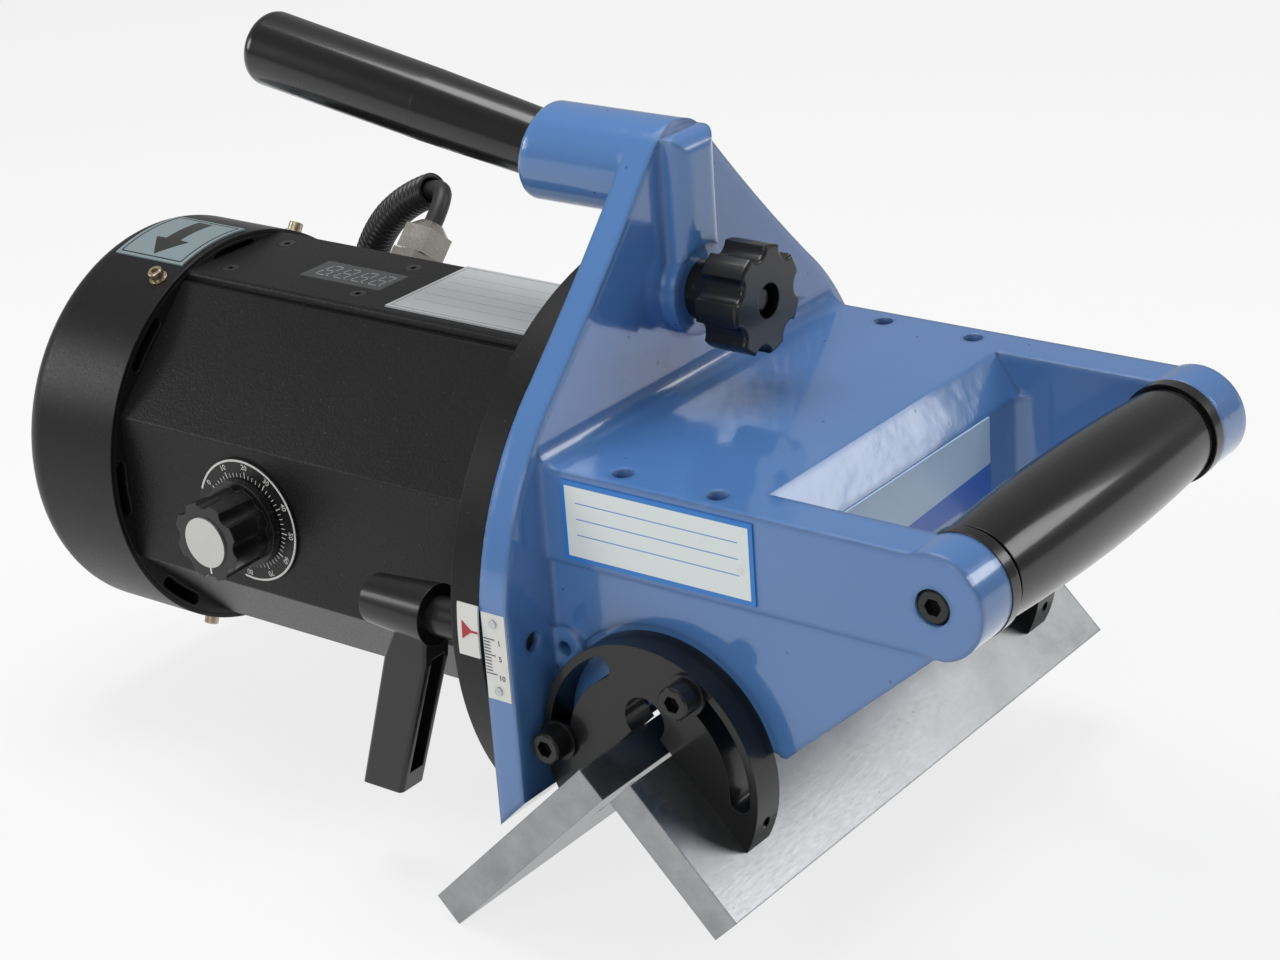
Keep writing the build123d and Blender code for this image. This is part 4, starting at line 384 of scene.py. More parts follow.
def textured_finish(name, colour, grain, roughness, speckle=0.0):
    """Fine textured black paint: crowded small blobs with duller crests, and pale dust."""
    finish = Finish(name, IOR=1.45, Specular_IOR_Level=0.32)
    blobs = finish.noise(scale=780, detail=2, roughness=0.55)
    fine = finish.noise(scale=2300, detail=1)
    cloud = finish.noise(scale=22, detail=3)
    dust = 1 - finish.cells(scale=210).above(edge=0.07, softness=0.04)
    worn = [0.006 + 1.5 * part for part in colour]
    base = finish.mix(cloud * 0.45, colour, worn)
    finish.set(
        Base_Color=finish.mix(dust * speckle, base, (0.3, 0.28, 0.25)),
        Roughness=roughness + blobs * 0.2,
    )
    finish.relief(blobs * grain + fine * (grain * 0.3), edge_radius=0.8 * mm)
    return finish.material


def satin_finish(name, colour, roughness, grain=0.01, coat=0.0, streaks=(1, 1, 1), edge=0.4):
    """Moulded or painted black surface: faint grain, cloudy gloss and fine dust."""
    finish = Finish(name, Coat_Roughness=0.1, IOR=1.48, Specular_IOR_Level=0.35)
    cloud = finish.noise(scale=35, detail=3)
    fine = finish.noise(scale=1300, detail=2, roughness=0.6, stretch=streaks)
    dust = 1 - finish.cells(scale=260).above(edge=0.05, softness=0.04)
    pale = [part * 1.6 + 0.004 for part in colour]
    base = finish.mix(cloud * 0.5, colour, pale)
    finish.set(
        Base_Color=finish.mix(dust * 0.2, base, (0.2, 0.19, 0.18)),
        Roughness=roughness + cloud * 0.1 + fine * 0.05,
        Coat_Weight=coat * (1 - cloud * 0.3),
    )
    finish.relief(fine * grain + cloud * 0.02, edge * mm)
    return finish.material


def metal_finish(name, colour, roughness, streaks=(1, 1, 1), depth=0.006, mottle=0.3, edge=0.3):
    """Bare or plated metal: fine grinding streaks, mottled tone and a few dark specks."""
    finish = Finish(name, IOR=2.0)
    cloud = finish.noise(scale=45, detail=5, roughness=0.65)
    tooth = finish.noise(scale=900, detail=3, roughness=0.7, stretch=streaks)
    specks = 1 - finish.cells(scale=160).above(edge=0.06, softness=0.05)
    dark = [part * (1 - mottle) for part in colour]
    patches = cloud.above(edge=0.5, softness=0.5)
    base = finish.mix(patches * 0.65 + tooth * 0.35, dark, colour)
    finish.set(
        Base_Color=finish.mix(specks * mottle, base, [0.25 * part for part in colour]),
        Roughness=roughness + tooth * 0.18 + patches * 0.06,
        Metallic=1 - specks * 0.5,
    )
    finish.relief(tooth * depth + cloud * 0.01, edge * mm)
    return finish.material


def rubber_finish():
    """Dull black cord sheath with a faint grain, greyer in soft clouds."""
    finish = Finish("black_rubber", IOR=1.45)
    cloud = finish.noise(scale=45, detail=3)
    fine = finish.noise(scale=1500, detail=2)
    finish.set(
        Base_Color=finish.mix(cloud * 0.6, (0.012, 0.012, 0.013), (0.04, 0.04, 0.042)),
        Roughness=0.38 + fine * 0.15,
    )
    finish.relief(fine * 0.012 + cloud * 0.03)
    return finish.material


def label_finish(name, colour, second, marks):
    """Printed foil: a base colour, a second colour where the marks are, faint ripples and dirt."""
    finish = Finish(name, Coat_Roughness=0.1, IOR=1.46)
    ripple = finish.noise(scale=60, detail=2)
    grime = finish.noise(scale=130, detail=4, roughness=0.65).above(edge=0.68, softness=0.12)
    printed = finish.mix(marks(finish), colour, second)
    finish.set(
        Base_Color=finish.mix(grime * 0.16, printed, (0.2, 0.2, 0.2)),
        Roughness=0.3 + ripple * 0.12,
        Coat_Weight=0.35 - ripple * 0.15,
    )
    finish.relief(ripple * 0.05)
    return finish.material


def inside(finish, along, low, high, across, lower, upper, border):
    """1 inside a rectangle that stands a border in from two ranges in metres."""
    first = finish.line(along, (low + high) / 2, (high - low) / 2 - border)
    second = finish.line(across, (lower + upper) / 2, (upper - lower) / 2 - border)
    return first * second


def form_marks(finish):
    """Blue border of the side label and four blank ruled lines."""
    x, y, z = finish.axes()
    low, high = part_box("side_label")
    border = 1 - inside(finish, x, low.x, high.x, z, low.z, high.z, form_border * mm)
    lines = 0
    for share in form_line_shares:
        row = finish.line(z, high.z + share * (low.z - high.z), form_line_half_width * mm)
        lines = row + lines
    field = inside(finish, x, low.x, high.x, z, low.z, high.z, form_field_inset * mm)
    return border + lines * field * 0.8


def front_marks(finish):
    """Darker blue stripe along the foot of the front label, sloping up to one end."""
    x, y, z = finish.axes()
    low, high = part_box("apron_label")
    rise = stripe_slope * y
    stripe_top = low.z + stripe_share * (high.z - low.z)
    return 1 - (z - rise).above(stripe_top, stripe_softness * mm)


def type_marks(finish):
    """Thin dark border of the type plate and its blank ruled rows."""
    x, y, z = finish.axes()
    low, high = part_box("type_plate")
    outer, inner = (
        inside(finish, x, low.x, high.x, y, low.y, high.y, inset * mm) for inset in type_border_insets
    )
    rows = 0
    for share in type_row_shares:
        row = finish.line(y, low.y + share * (high.y - low.y), type_row_half_width * mm)
        rows = row + rows
    field = inside(finish, x, low.x, high.x, y, low.y, high.y, type_field_inset * mm)
    return (outer - inner) * 0.9 + rows * field * 0.55


def no_marks(finish):
    """A bare plate, dulled a little in patches."""
    return finish.noise(scale=90, detail=2) * 0.25


def plain_mesh(name, points, faces, smooth=False):
    """A new mesh object from whole arrays of points in millimetres and faces."""
    mesh = bpy.data.meshes.new(name)
    mesh.from_pydata((np.asarray(points) * mm).tolist(), [], [list(map(int, face)) for face in faces])
    mesh.polygons.foreach_set("use_smooth", [smooth] * len(mesh.polygons))
    mesh.update()
    piece = bpy.data.objects.new(name, mesh)
    bpy.context.scene.collection.objects.link(piece)
    return piece


def finish_piece(piece, finish, slot, body, *nodes):
    """Gives a piece its finish, ties it to its body and hides what it replaces; the slot is not used."""
    piece.data.materials.clear()
    piece.data.materials.append(bpy.data.materials[f"{finish}_finish"])
    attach(piece, body)
    if nodes:
        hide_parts(*nodes)
    return piece


def unit_rows(vectors):
    """Each row divided by its length."""
    return vectors / np.linalg.norm(vectors, axis=-1, keepdims=True)


def bar(points, up, half_widths, height):
    """Flat bar along a path: its section at each point is a rectangle of that half width.

    Each corner is the path's point plus or minus the half width times the path's
    direction crossed with up, raised by nothing or by the height along up.
    """
    points = np.asarray(points, float)
    up = np.broadcast_to(np.asarray(up, float), points.shape)
    across = unit_rows(np.cross(np.gradient(points, axis=0), up))
    reach = across * np.broadcast_to(np.asarray(half_widths, float), len(points))[:, None]
    rise = up * height
    corners = np.stack((points - reach, points + reach, points + reach + rise, points - reach + rise), 1)
    row = np.arange(len(points) - 1)[:, None] * 4
    side = np.arange(4)[None, :]
    following = (side + 1) % 4
    walls = np.stack((row + side, row + 4 + side, row + 4 + following, row + following), -1).reshape(-1, 4)
    last = 4 * (len(points) - 1)
    caps = np.array(((0, 1, 2, 3), (last + 3, last + 2, last + 1, last)))
    return corners.reshape(-1, 3), np.vstack((walls, caps))


def bars_piece(name, bars):
    """One piece out of several bars."""
    starts = np.cumsum([0] + [len(points) for points, faces in bars[:-1]])
    points = np.vstack([points for points, faces in bars])
    faces = np.vstack([faces + start for start, (corners, faces) in zip(starts, bars)])
    return plain_mesh(name, points, faces)


def lettering(name, words, size, thickness):
    """Raised plain characters: each word's mesh is set in its place by a matrix in millimetres."""
    joined = bmesh.new()
    for text, place in words:
        curve = bpy.data.curves.new(name, "FONT")
        curve.body = text
        curve.size = size
        curve.extrude = thickness / 2
        curve.align_x = "CENTER"
        curve.align_y = "CENTER"
        curve.resolution_u = 4
        holder = bpy.data.objects.new(name, curve)
        bpy.context.scene.collection.objects.link(holder)
        bpy.context.view_layer.update()
        mesh = bpy.data.meshes.new_from_object(holder)
        mesh.transform(place)
        joined.from_mesh(mesh)
        bpy.data.objects.remove(holder)
        bpy.data.meshes.remove(mesh)
    bmesh.ops.scale(joined, vec=(mm, mm, mm), verts=joined.verts)
    bmesh.ops.remove_doubles(joined, verts=joined.verts, dist=0.001 * mm)
    mesh = bpy.data.meshes.new(name)
    joined.to_mesh(mesh)
    joined.free()
    piece = bpy.data.objects.new(name, mesh)
    bpy.context.scene.collection.objects.link(piece)
    return piece


def basis(origin, right, up, out):
    """Matrix that puts a drawing's right, up and outward directions at a place."""
    columns = [(*right, 0), (*up, 0), (*out, 0), (*origin, 1)]
    return Matrix(columns).transposed()


def coil_points():
    """Points of the coil from its top outer turn down to its foot.

    The angle goes round evenly. In each layer the radius shrinks or grows by one
    pitch a turn, and at each end of a layer the cord drops by one pitch over half a turn.
    """
    step = np.arange(coil_layers * coil_turns * coil_steps + 1)
    angle = -math.pi / 2 + 2 * math.pi * step / coil_steps
    turns = step / coil_steps
    layer = np.minimum(turns // coil_turns, coil_layers - 1)
    travel = (turns - layer * coil_turns) * coil_pitch
    inner = coil_outer_radius - coil_turns * coil_pitch
    radius = np.where(layer % 2 == 0, coil_outer_radius - travel, inner + travel)
    change = turns - coil_turns * np.round(turns / coil_turns)
    drop = np.clip(change / coil_drop_turns + 0.5, 0, 1) + np.round(turns / coil_turns) - 1
    level = np.clip(drop, 0, coil_layers - 1)
    top = cord_radius + (coil_layers - 1) * coil_pitch
    x = coil_middle[0] + radius * np.cos(angle)
    y = coil_middle[1] + radius * np.sin(angle)
    return np.stack((x, y, top - level * coil_pitch), -1)


def route_curve(name, points, radius=0.0):
    """Open NURBS curve through whole arrays of control points in millimetres."""
    curve = bpy.data.curves.new(name, "CURVE")
    curve.dimensions = "3D"
    curve.resolution_u = 6
    curve.bevel_depth = radius * mm
    curve.bevel_resolution = 5
    curve.use_fill_caps = True
    spline = curve.splines.new("NURBS")
    spline.points.add(len(points) - 1)
    weighted = np.hstack((np.asarray(points) * mm, np.ones((len(points), 1))))
    spline.points.foreach_set("co", weighted.ravel())
    spline.order_u = 3
    spline.use_endpoint_u = True
    piece = bpy.data.objects.new(name, curve)
    bpy.context.scene.collection.objects.link(piece)
    return piece


def read_route(points):
    """Points along a route's NURBS spline, in millimetres."""
    holder = route_curve("route_reader", points)
    bpy.context.view_layer.update()
    mesh = bpy.data.meshes.new_from_object(holder)
    places = np.zeros(3 * len(mesh.vertices))
    mesh.vertices.foreach_get("co", places)
    bpy.data.objects.remove(holder)
    bpy.data.meshes.remove(mesh)
    return places.reshape(-1, 3) / mm


def nearest_row(route, point):
    """Row of a route's points that lies nearest to a point."""
    return np.argmin(np.linalg.norm(route - point, axis=1))


class CameraSettings(bpy.types.PropertyGroup):
    lens: FloatProperty(name="Lens", description="Focal length in millimetres", default=81.59, min=1)
    sensor: FloatProperty(name="Sensor", description="Sensor width in millimetres", default=36.0, min=1)


class EnamelSettings(bpy.types.PropertyGroup):
    colour: FloatVectorProperty(
        name="Colour",
        description="Colour of the casting's enamel",
        subtype="COLOR",
        default=(0.085, 0.215, 0.5),
        min=0,
        max=1,
    )
    roughness: FloatProperty(
        name="Roughness", description="Dullness of the enamel", default=0.1, min=0, max=1
    )
    waviness: FloatProperty(
        name="Waviness", description="Height of the slow waves in millimetres", default=0.33, min=0
    )
    edge_radius: FloatProperty(
        name="Edge radius",
        description="Rounding of the casting's edges as light shows it",
        default=0.0045,
        min=0,
        subtype="DISTANCE",
        unit="LENGTH",
    )


class HoseSettings(bpy.types.PropertyGroup):
    outer_radius: FloatProperty(
        name="Outer radius",
        description="Radius over the ribs",
        default=0.008,
        subtype="DISTANCE",
        unit="LENGTH",
    )
    groove_depth: FloatProperty(
        name="Groove depth",
        description="Depth of the grooves between ribs",
        default=0.0011,
        subtype="DISTANCE",
        unit="LENGTH",
    )
    rib_count: IntProperty(name="Ribs", description="Number of ribs along the hose", default=48, min=4)


class PrintSettings(bpy.types.PropertyGroup):
    thickness: FloatProperty(
        name="Print thickness",
        description="Height of raised print",
        default=0.00012,
        subtype="DISTANCE",
        unit="LENGTH",
    )
    numeral_size: FloatProperty(
        name="Numeral size",
        description="Height of the dial's characters",
        default=0.0034,
        subtype="DISTANCE",
        unit="LENGTH",
    )


class StageSettings(bpy.types.PropertyGroup):
    key_power: FloatProperty(
        name="Key lamp",
        description="Power of the lamp overhead",
        default=15.0,
        subtype="POWER",
        unit="POWER",
    )
    fill_power: FloatProperty(
        name="Fill lamps",
        description="Power of each of the three lamps around",
        default=7.0,
        subtype="POWER",
        unit="POWER",
    )
    world_strength: FloatProperty(
        name="Surrounding light", description="Strength of the even light", default=0.3, min=0
    )


class EDGEMILL_OT_camera(bpy.types.Operator):
    """Places the camera where the photograph was taken from"""

    bl_idname = "edgemill.camera"
    bl_label = "Camera"

    def execute(self, context):
        settings = context.scene.edgemill_camera
        data = bpy.data.cameras.new("photo_camera")
        data.lens = settings.lens
        data.sensor_width = settings.sensor
        camera = bpy.data.objects.new("photo_camera", data)
        camera.matrix_world = basis(camera_place, camera_right, camera_up, camera_back)
        context.scene.collection.objects.link(camera)
        context.scene.camera = camera
        return {"FINISHED"}


class EDGEMILL_OT_power_cord(bpy.types.Operator):
    """Lays the power cord from the gland, down behind the motor, into its coil and to the plug"""

    bl_idname = "edgemill.power_cord"
    bl_label = "Power cord"

    def execute(self, context):
        points = np.vstack((free_route, coil_points(), lead_route))
        cord = route_curve("power_cord", points, cord_radius)
        finish_piece(
            cord, "black_rubber", "black_rubber", "motor_unit", "power_cable", "cable_coil", "plug_lead"
        )
        return {"FINISHED"}


class EDGEMILL_OT_corrugated_hose(bpy.types.Operator):
    """Makes the corrugated hose round the cord: a rippled radius carried along its route"""

    bl_idname = "edgemill.corrugated_hose"
    bl_label = "Corrugated hose"

    def execute(self, context):
        settings = context.scene.edgemill_hose
        route = read_route(np.vstack((free_route, coil_points(), lead_route)))
        gap = np.linalg.norm(np.diff(route, axis=0), axis=1)
        distance = np.concatenate(((0,), np.cumsum(gap)))
        start = distance[nearest_row(route, free_route[hose_first_point])] + hose_first_offset
        end = distance[nearest_row(route, free_route[hose_last_point])] - hose_last_offset
        share = np.linspace(0, 1, settings.rib_count * hose_rib_steps + 1)
        along = start + share * (end - start)
        ripple = np.clip(hose_crest_share * np.cos(2 * math.pi * settings.rib_count * share), -1, 1)
        outside = settings.outer_radius / mm - settings.groove_depth / mm * (1 - ripple) / 2
        back = np.linspace(1, 0, hose_inner_steps)
        along = np.concatenate((along, start + back * (end - start)))
        radius = np.concatenate((outside, np.full(hose_inner_steps, outside.min() - hose_wall)))
        middle = np.stack([np.interp(along, distance, route[:, axis]) for axis in range(3)], -1)
        slope = unit_rows(np.gradient(route, distance, axis=0))
        heading = unit_rows(np.stack([np.interp(along, distance, slope[:, axis]) for axis in range(3)], -1))
        first = unit_rows(np.cross(heading, (0.0, 1.0, 0.0)))
        second = np.cross(heading, first)
        turn = np.linspace(0, 2 * math.pi, hose_round_steps, endpoint=False)[None, :, None]
        ring = first[:, None] * np.cos(turn) + second[:, None] * np.sin(turn)
        places = middle[:, None] + ring * radius[:, None, None]
        rows, columns = places.shape[:2]
        row = np.arange(rows)[:, None]
        column = np.arange(columns)[None, :]
        below = (row + 1) % rows * columns
        beside = (column + 1) % columns
        faces = np.stack(
            (row * columns + column, row * columns + beside, below + beside, below + column), -1
        ).reshape(-1, 4)
        hose = plain_mesh("corrugated_hose", places.reshape(-1, 3), faces, smooth=True)
        finish_piece(hose, "hose_black", "black_plastic", "motor_unit", "cable_conduit")
        return {"FINISHED"}


class EDGEMILL_OT_finishes(bpy.types.Operator):
    """Makes every finish and paints the machine's solids with them"""

    bl_idname = "edgemill.finishes"
    bl_label = "Finishes"

    def execute(self, context):
        enamel_finish(context.scene.edgemill_enamel)
        textured_finish("black_housing", (0.006, 0.006, 0.0065), grain=0.14, roughness=0.3, speckle=0.12)
        textured_finish("black_cast", (0.007, 0.007, 0.0075), grain=0.02, roughness=0.28, speckle=0.12)
        satin_finish("gloss_black", (0.004, 0.004, 0.0045), 0.18, grain=0.006, coat=0.6, edge=0.8)
        satin_finish("black_plastic", (0.005, 0.005, 0.0055), 0.26, grain=0.012, coat=0.35, edge=0.8)
        satin_finish("dial_black", (0.01, 0.01, 0.011), 0.3, grain=0.006)
        satin_finish("black_steel", (0.006, 0.006, 0.0065), 0.26, grain=0.012, coat=0.3, edge=0.6)
        satin_finish("hose_black", (0.012, 0.012, 0.014), 0.3, grain=0.004, coat=0.2, edge=0)
        satin_finish("dark_glass", (0.03, 0.032, 0.034), 0.12, grain=0.001, coat=0.6)
        satin_finish("green_board", (0.01, 0.07, 0.03), 0.4, grain=0.01)
        ground = {"streaks": (1, 0.2, 1), "depth": 0.02, "mottle": 0.42, "edge": 1.0}
        metal_finish("ground_steel", (0.42, 0.43, 0.44), 0.24, **ground)
        metal_finish("milled_steel", (0.4, 0.4, 0.41), 0.32, streaks=(0.3, 1, 1), depth=0.006)
        metal_finish("carbide", (0.2, 0.2, 0.21), 0.25, depth=0.003)
        metal_finish("zinc_steel", (0.62, 0.63, 0.65), 0.24, depth=0.003, mottle=0.2)
        metal_finish("yellow_zinc", (0.62, 0.52, 0.38), 0.22, depth=0.003, mottle=0.35)
        nickel = {"streaks": (1, 1, 0.2), "depth": 0.0008, "mottle": 0.08, "edge": 0}
        metal_finish("nickel", (0.62, 0.59, 0.54), 0.14, **nickel)
        metal_finish("copper_winding", (0.5, 0.22, 0.1), 0.3, streaks=(0.2, 1, 1), depth=0.01)
        metal_finish("silver_cap", (0.66, 0.66, 0.64), 0.36, depth=0.003, mottle=0.12)
        rubber_finish()
        label_finish("white_plate", (0.78, 0.78, 0.75), (0.6, 0.6, 0.56), no_marks)
        label_finish("form_label", (0.78, 0.84, 0.84), (0.02, 0.2, 0.6), form_marks)
        label_finish("front_label", (0.42, 0.58, 0.78), (0.03, 0.13, 0.55), front_marks)
        label_finish("type_label", (0.55, 0.57, 0.58), (0.06, 0.06, 0.065), type_marks)
        label_finish("arrow_label", (0.2, 0.26, 0.28), (0.25, 0.31, 0.33), no_marks)
        label_finish("print_white", (0.75, 0.75, 0.72), (0.6, 0.6, 0.58), no_marks)
        label_finish("print_black", (0.012, 0.012, 0.012), (0.03, 0.03, 0.03), no_marks)
        label_finish("print_red", (0.45, 0.012, 0.03), (0.3, 0.01, 0.02), no_marks)
        label_finish("print_grey", (0.3, 0.32, 0.33), (0.2, 0.22, 0.23), no_marks)
        for finish, nodes in finish_nodes.items():
            for name in nodes:
                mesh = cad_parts[name].data
                mesh.materials.clear()
                mesh.materials.append(bpy.data.materials[f"{finish}_finish"])
                mesh.polygons.foreach_set("material_index", [0] * len(mesh.polygons))
        return {"FINISHED"}


class EDGEMILL_OT_speed_dial(bpy.types.Operator):
    """Prints the speed dial's ring, ticks and numerals, and the line on its knob"""

    bl_idname = "edgemill.speed_dial"
    bl_label = "Speed dial"

    def execute(self, context):
        settings = context.scene.edgemill_print
        height = settings.thickness / mm
        x, y, z = dial_middle
        face = y - dial_print_drop
        out = (0.0, -1.0, 0.0)

        def spoke(angle, inner, outer, half_width, level=face):
            """Straight bar outwards at an angle in degrees, from one radius to another."""
            turn = math.radians(angle)
            reach = np.linspace(inner, outer, 2)
            line = np.stack((x + reach * math.cos(turn), np.full(2, level), z + reach * math.sin(turn)), -1)
            return bar(line, out, half_width, height)

        ring_ends = (dial_first_angle + dial_ring_start_gap, dial_last_angle - dial_ring_end_gap)
        turns = np.radians(np.linspace(*ring_ends, dial_ring_steps))
        ring_x = x + dial_ring_radius * np.cos(turns)
        ring_z = z + dial_ring_radius * np.sin(turns)
        ring = np.stack((ring_x, np.full(dial_ring_steps, face), ring_z), -1)
        marks = [bar(ring, out, dial_ring_half_width, height)]
        for number in range(dial_tick_count + 1):
            angle = dial_first_angle + (dial_last_angle - dial_first_angle) * number / dial_tick_count
            outer, half_width = dial_short_tick if number % dial_ticks_per_number else dial_long_tick
            marks.append(spoke(angle, dial_tick_start, outer, half_width))
        finish_piece(bars_piece("dial_marks", marks), "print_white", "white_label", "motor_unit")
        words = []
        for number in dial_numbers:
            share = number / dial_numbers[-1]
            angle = math.radians(dial_first_angle + (dial_last_angle - dial_first_angle) * share)
            outward = (math.cos(angle), 0, math.sin(angle))
            along = (math.sin(angle), 0, -math.cos(angle))
            right = x + dial_numeral_radius * outward[0]
            level = z + dial_numeral_radius * outward[2]
            words.append((str(number), basis((right, face - height / 2, level), along, outward, out)))
        numerals = lettering("dial_numerals", words, settings.numeral_size / mm, height)
        finish_piece(numerals, "print_white", "white_label", "motor_unit")
        low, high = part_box("speed_knob")
        line = [spoke(knob_line_angle, *knob_line_radii, knob_line_half_width, low.y / mm)]
        finish_piece(bars_piece("knob_line", line), "print_white", "white_label", "speed_dial")
        return {"FINISHED"}


class EDGEMILL_OT_depth_scale(bpy.types.Operator):
    """Prints the depth scale's ticks and numerals and the red pointer beside it"""

    bl_idname = "edgemill.depth_scale"
    bl_label = "Depth scale"

    def execute(self, context):
        height = context.scene.edgemill_print.thickness / mm
        low, high = (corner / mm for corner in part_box("depth_scale"))
        out = (0.0, -1.0, 0.0)
        face = low.y
        first = high.z - scale_first_drop
        start = low.x + scale_tick_inset
        marks = []
        for number in range(scale_tick_count):
            length = scale_long_tick if number in scale_numbers else scale_short_tick
            level = first - scale_spacing * number
            line = [(start, face, level), (start + length, face, level)]
            marks.append(bar(line, out, scale_tick_half_width, height))
        finish_piece(bars_piece("scale_ticks", marks), "print_black", "black_plastic", "machine_frame")
        words = []
        for number, text in scale_numbers.items():
            level = first - scale_spacing * number - scale_numeral_drop
            place = (low.x + scale_numeral_inset, face - height / 2, level)
            words.append((text, basis(place, (1, 0, 0), (0, 0, 1), out)))
        numerals = lettering("scale_numerals", words, scale_numeral_size, height)
        finish_piece(numerals, "print_black", "black_plastic", "machine_frame")
        low, high = (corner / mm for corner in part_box("pointer_plate"))
        middle = (low.z + high.z) / 2
        rise = middle - motor_height
        reach = np.array([low.x + inset for inset in pointer_insets] + [high.x - pointer_end_inset])
        swing = math.sqrt(pointer_radius**2 - rise**2)
        line = np.stack((reach, np.full(len(reach), -swing), np.full(len(reach), middle)), -1)
        slant = (0.0, -swing / pointer_radius, rise / pointer_radius)
        pointer = bars_piece(
            "depth_pointer", [bar(line, slant, pointer_half_widths, height + pointer_extra_height)]
        )
        finish_piece(pointer, "print_red", "white_label", "motor_unit")
        return {"FINISHED"}


class EDGEMILL_OT_turn_arrow(bpy.types.Operator):
    """Prints the arrow and border that show which way the cutter turns"""

    bl_idname = "edgemill.turn_arrow"
    bl_label = "Turn arrow"

    def execute(self, context):
        height = context.scene.edgemill_print.thickness / mm
        low, high = (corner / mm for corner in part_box("arrow_plate"))

        def wrap(angle, place_x):
            """Point of the shroud's plate at an angle in degrees and a place along the motor."""
            turn = np.radians(angle)
            y = arrow_radius * np.cos(turn)
            return np.stack((place_x + 0 * turn, y, motor_height + arrow_radius * np.sin(turn)), -1)

        def lift(angle):
            """Outward direction at an angle in degrees."""
            turn = np.radians(angle)
            return np.stack((0 * turn, np.cos(turn), np.sin(turn)), -1)

        middle = (low.x + high.x) / 2
        shaft = np.linspace(*arrow_shaft_angles, arrow_shaft_steps)
        head = np.linspace(*arrow_head_angles, arrow_head_steps)
        angles = np.concatenate((shaft, (arrow_barb_angle,), head))
        shaft_widths = np.full(arrow_shaft_steps, arrow_shaft_half_width)
        head_widths = np.linspace(arrow_head_half_width, arrow_tip_half_width, arrow_head_steps)
        widths = np.concatenate((shaft_widths, (arrow_head_half_width,), head_widths))
        arrow = [bar(wrap(angles, np.full(len(angles), middle)), lift(angles), widths, height)]
        finish_piece(bars_piece("turn_arrow", arrow), "print_black", "black_plastic", "motor_unit")
        border = []
        sweep = np.linspace(*arrow_border_angles, arrow_border_steps)
        sides = (low.x + arrow_border_inset, high.x - arrow_border_inset)
        for place_x in sides:
            path = wrap(sweep, np.full(arrow_border_steps, place_x))
            border.append(bar(path, lift(sweep), arrow_border_half_width, height))
        across = np.linspace(*sides, 2)
        for angle in arrow_border_angles:
            turns = np.full(2, angle)
            border.append(bar(wrap(turns, across), lift(turns), arrow_border_half_width, height))
        finish_piece(bars_piece("arrow_border", border), "print_black", "black_plastic", "motor_unit")
        return {"FINISHED"}


class EDGEMILL_OT_display(bpy.types.Operator):
    """Sets four unlit seven-bar figures in the display window"""

    bl_idname = "edgemill.display"
    bl_label = "Display"

    def execute(self, context):
        height = context.scene.edgemill_print.thickness / mm
        low, high = (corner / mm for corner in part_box("display_window"))
        base_y = (low.y + high.y) / 2 - figure_height / 2
        bars = []

        def stroke(start, end, half_width=figure_half_width):
            """Flat bar on the window between two places in its plane."""
            line = [(*start, high.z), (*end, high.z)]
            bars.append(bar(line, (0.0, 0.0, 1.0), half_width, height))

        for figure in range(figure_count):
            left = low.x + figure_start + figure * figure_pitch
            for level in (0, 0.5, 1):
                y = base_y + level * figure_height
                start = left + figure_slant * 2 * level
                stroke((start + figure_gap, y), (start + figure_width - figure_gap, y))
            for side in (0, 1):
                for level in (0, 0.5):
                    foot = left + side * figure_width + figure_slant * 2 * level
                    y = base_y + level * figure_height
                    top = (foot + figure_slant - figure_side_gap, y + figure_height / 2 - figure_gap)
                    stroke((foot + figure_side_gap, y + figure_gap), top)
            dot = left + figure_width + figure_dot_offset
            half = figure_dot_half_width
            stroke((dot - half, base_y), (dot + half, base_y), half)
        finish_piece(bars_piece("display_figures", bars), "print_grey", "white_label", "motor_unit")
        return {"FINISHED"}


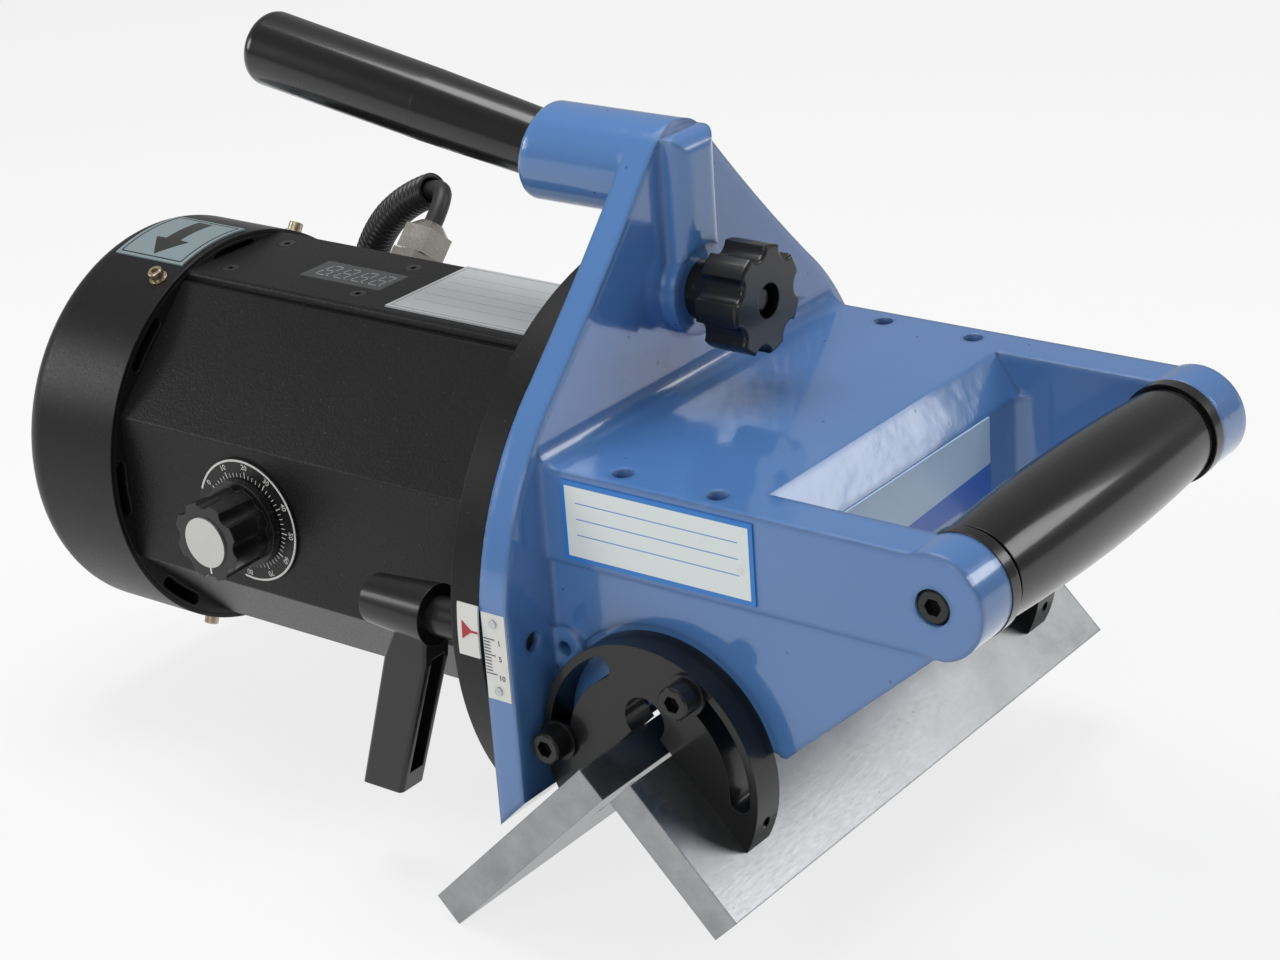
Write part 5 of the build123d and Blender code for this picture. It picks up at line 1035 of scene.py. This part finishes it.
class EDGEMILL_OT_stage(bpy.types.Operator):
    """Sets the pale floor, the lamps and the soft light around"""

    bl_idname = "edgemill.stage"
    bl_label = "Stage"

    def execute(self, context):
        settings = context.scene.edgemill_stage
        scene = context.scene
        scene.view_settings.view_transform = "Standard"
        size = floor_half_size
        corners = [(-size, -size, 0), (size, -size, 0), (size, size, 0), (-size, size, 0)]
        floor = plain_mesh("floor", corners, [(0, 1, 2, 3)])
        finish = Finish("pale_floor", Roughness=0.9, Base_Color=[floor_shade] * 3)
        rays = finish.place("ShaderNodeLightPath")
        seen = Signal(finish, rays.outputs["Is Camera Ray"]) + Signal(finish, rays.outputs["Is Glossy Ray"])
        seen = (seen + Signal(finish, rays.outputs["Is Transmission Ray"])) * floor_glow
        white = finish.node("ShaderNodeEmission", {}, {"Color": (1, 1, 1), "Strength": 1.0})
        shading = Signal(finish, finish.shader.outputs["BSDF"])
        both = finish.node("ShaderNodeMixShader", {}, {0: seen, 1: shading, 2: white})
        output = next(node for node in finish.tree.nodes if node.bl_idname == "ShaderNodeOutputMaterial")
        finish.tree.links.new(both.socket, output.inputs["Surface"])
        floor.data.materials.append(finish.material)
        world = bpy.data.worlds.new("soft_surroundings")
        world.use_nodes = True
        tree = world.node_tree
        background = tree.nodes["Background"]
        background.inputs["Color"].default_value = (1, 1, 1, 1)
        rays = tree.nodes.new("ShaderNodeLightPath")
        shown = tree.nodes.new("ShaderNodeMath")
        shown.operation = "MAXIMUM"
        tree.links.new(rays.outputs["Is Camera Ray"], shown.inputs[0])
        tree.links.new(rays.outputs["Is Transmission Ray"], shown.inputs[1])
        strength = tree.nodes.new("ShaderNodeMapRange")
        tree.links.new(shown.outputs[0], strength.inputs["Value"])
        strength.inputs["To Min"].default_value = settings.world_strength
        strength.inputs["To Max"].default_value = 1
        tree.links.new(strength.outputs[0], background.inputs["Strength"])
        scene.world = world
        for name, (place, power, width) in lamps.items():
            lamp = bpy.data.lights.new(name, "AREA")
            lamp.energy = getattr(settings, power)
            lamp.size = width
            holder = bpy.data.objects.new(name, lamp)
            holder.location = place
            aim = Vector(lamp_target) - holder.location
            holder.rotation_euler = aim.to_track_quat("-Z", "Y").to_euler()
            scene.collection.objects.link(holder)
        return {"FINISHED"}


class EDGEMILL_PT_panel(bpy.types.Panel):
    bl_label = "Edge Milling Machine"
    bl_idname = "EDGEMILL_PT_panel"
    bl_space_type = "VIEW_3D"
    bl_region_type = "UI"
    bl_category = "Edge Mill"

    def draw(self, context):
        for operator in operators:
            self.layout.operator(operator.bl_idname)
        for name, group in setting_groups.items():
            box = self.layout.box()
            for field in group.__annotations__:
                box.prop(getattr(context.scene, name), field)


setting_groups = {
    "edgemill_camera": CameraSettings,
    "edgemill_enamel": EnamelSettings,
    "edgemill_hose": HoseSettings,
    "edgemill_print": PrintSettings,
    "edgemill_stage": StageSettings,
}
operators = (
    EDGEMILL_OT_camera,
    EDGEMILL_OT_finishes,
    EDGEMILL_OT_power_cord,
    EDGEMILL_OT_corrugated_hose,
    EDGEMILL_OT_speed_dial,
    EDGEMILL_OT_depth_scale,
    EDGEMILL_OT_turn_arrow,
    EDGEMILL_OT_display,
    EDGEMILL_OT_stage,
)


def register():
    for name, group in setting_groups.items():
        bpy.utils.register_class(group)
        setattr(bpy.types.Scene, name, PointerProperty(type=group))
    for item in (*operators, EDGEMILL_PT_panel):
        bpy.utils.register_class(item)


def unregister():
    for item in reversed((*operators, EDGEMILL_PT_panel)):
        bpy.utils.unregister_class(item)
    for name, group in setting_groups.items():
        delattr(bpy.types.Scene, name)
        bpy.utils.unregister_class(group)


def main():
    register()
    bpy.ops.edgemill.camera()
    bpy.ops.edgemill.finishes()
    bpy.ops.edgemill.power_cord()
    bpy.ops.edgemill.corrugated_hose()
    bpy.ops.edgemill.speed_dial()
    bpy.ops.edgemill.depth_scale()
    bpy.ops.edgemill.turn_arrow()
    bpy.ops.edgemill.display()
    bpy.ops.edgemill.stage()


if __name__ == "__main__":
    main()
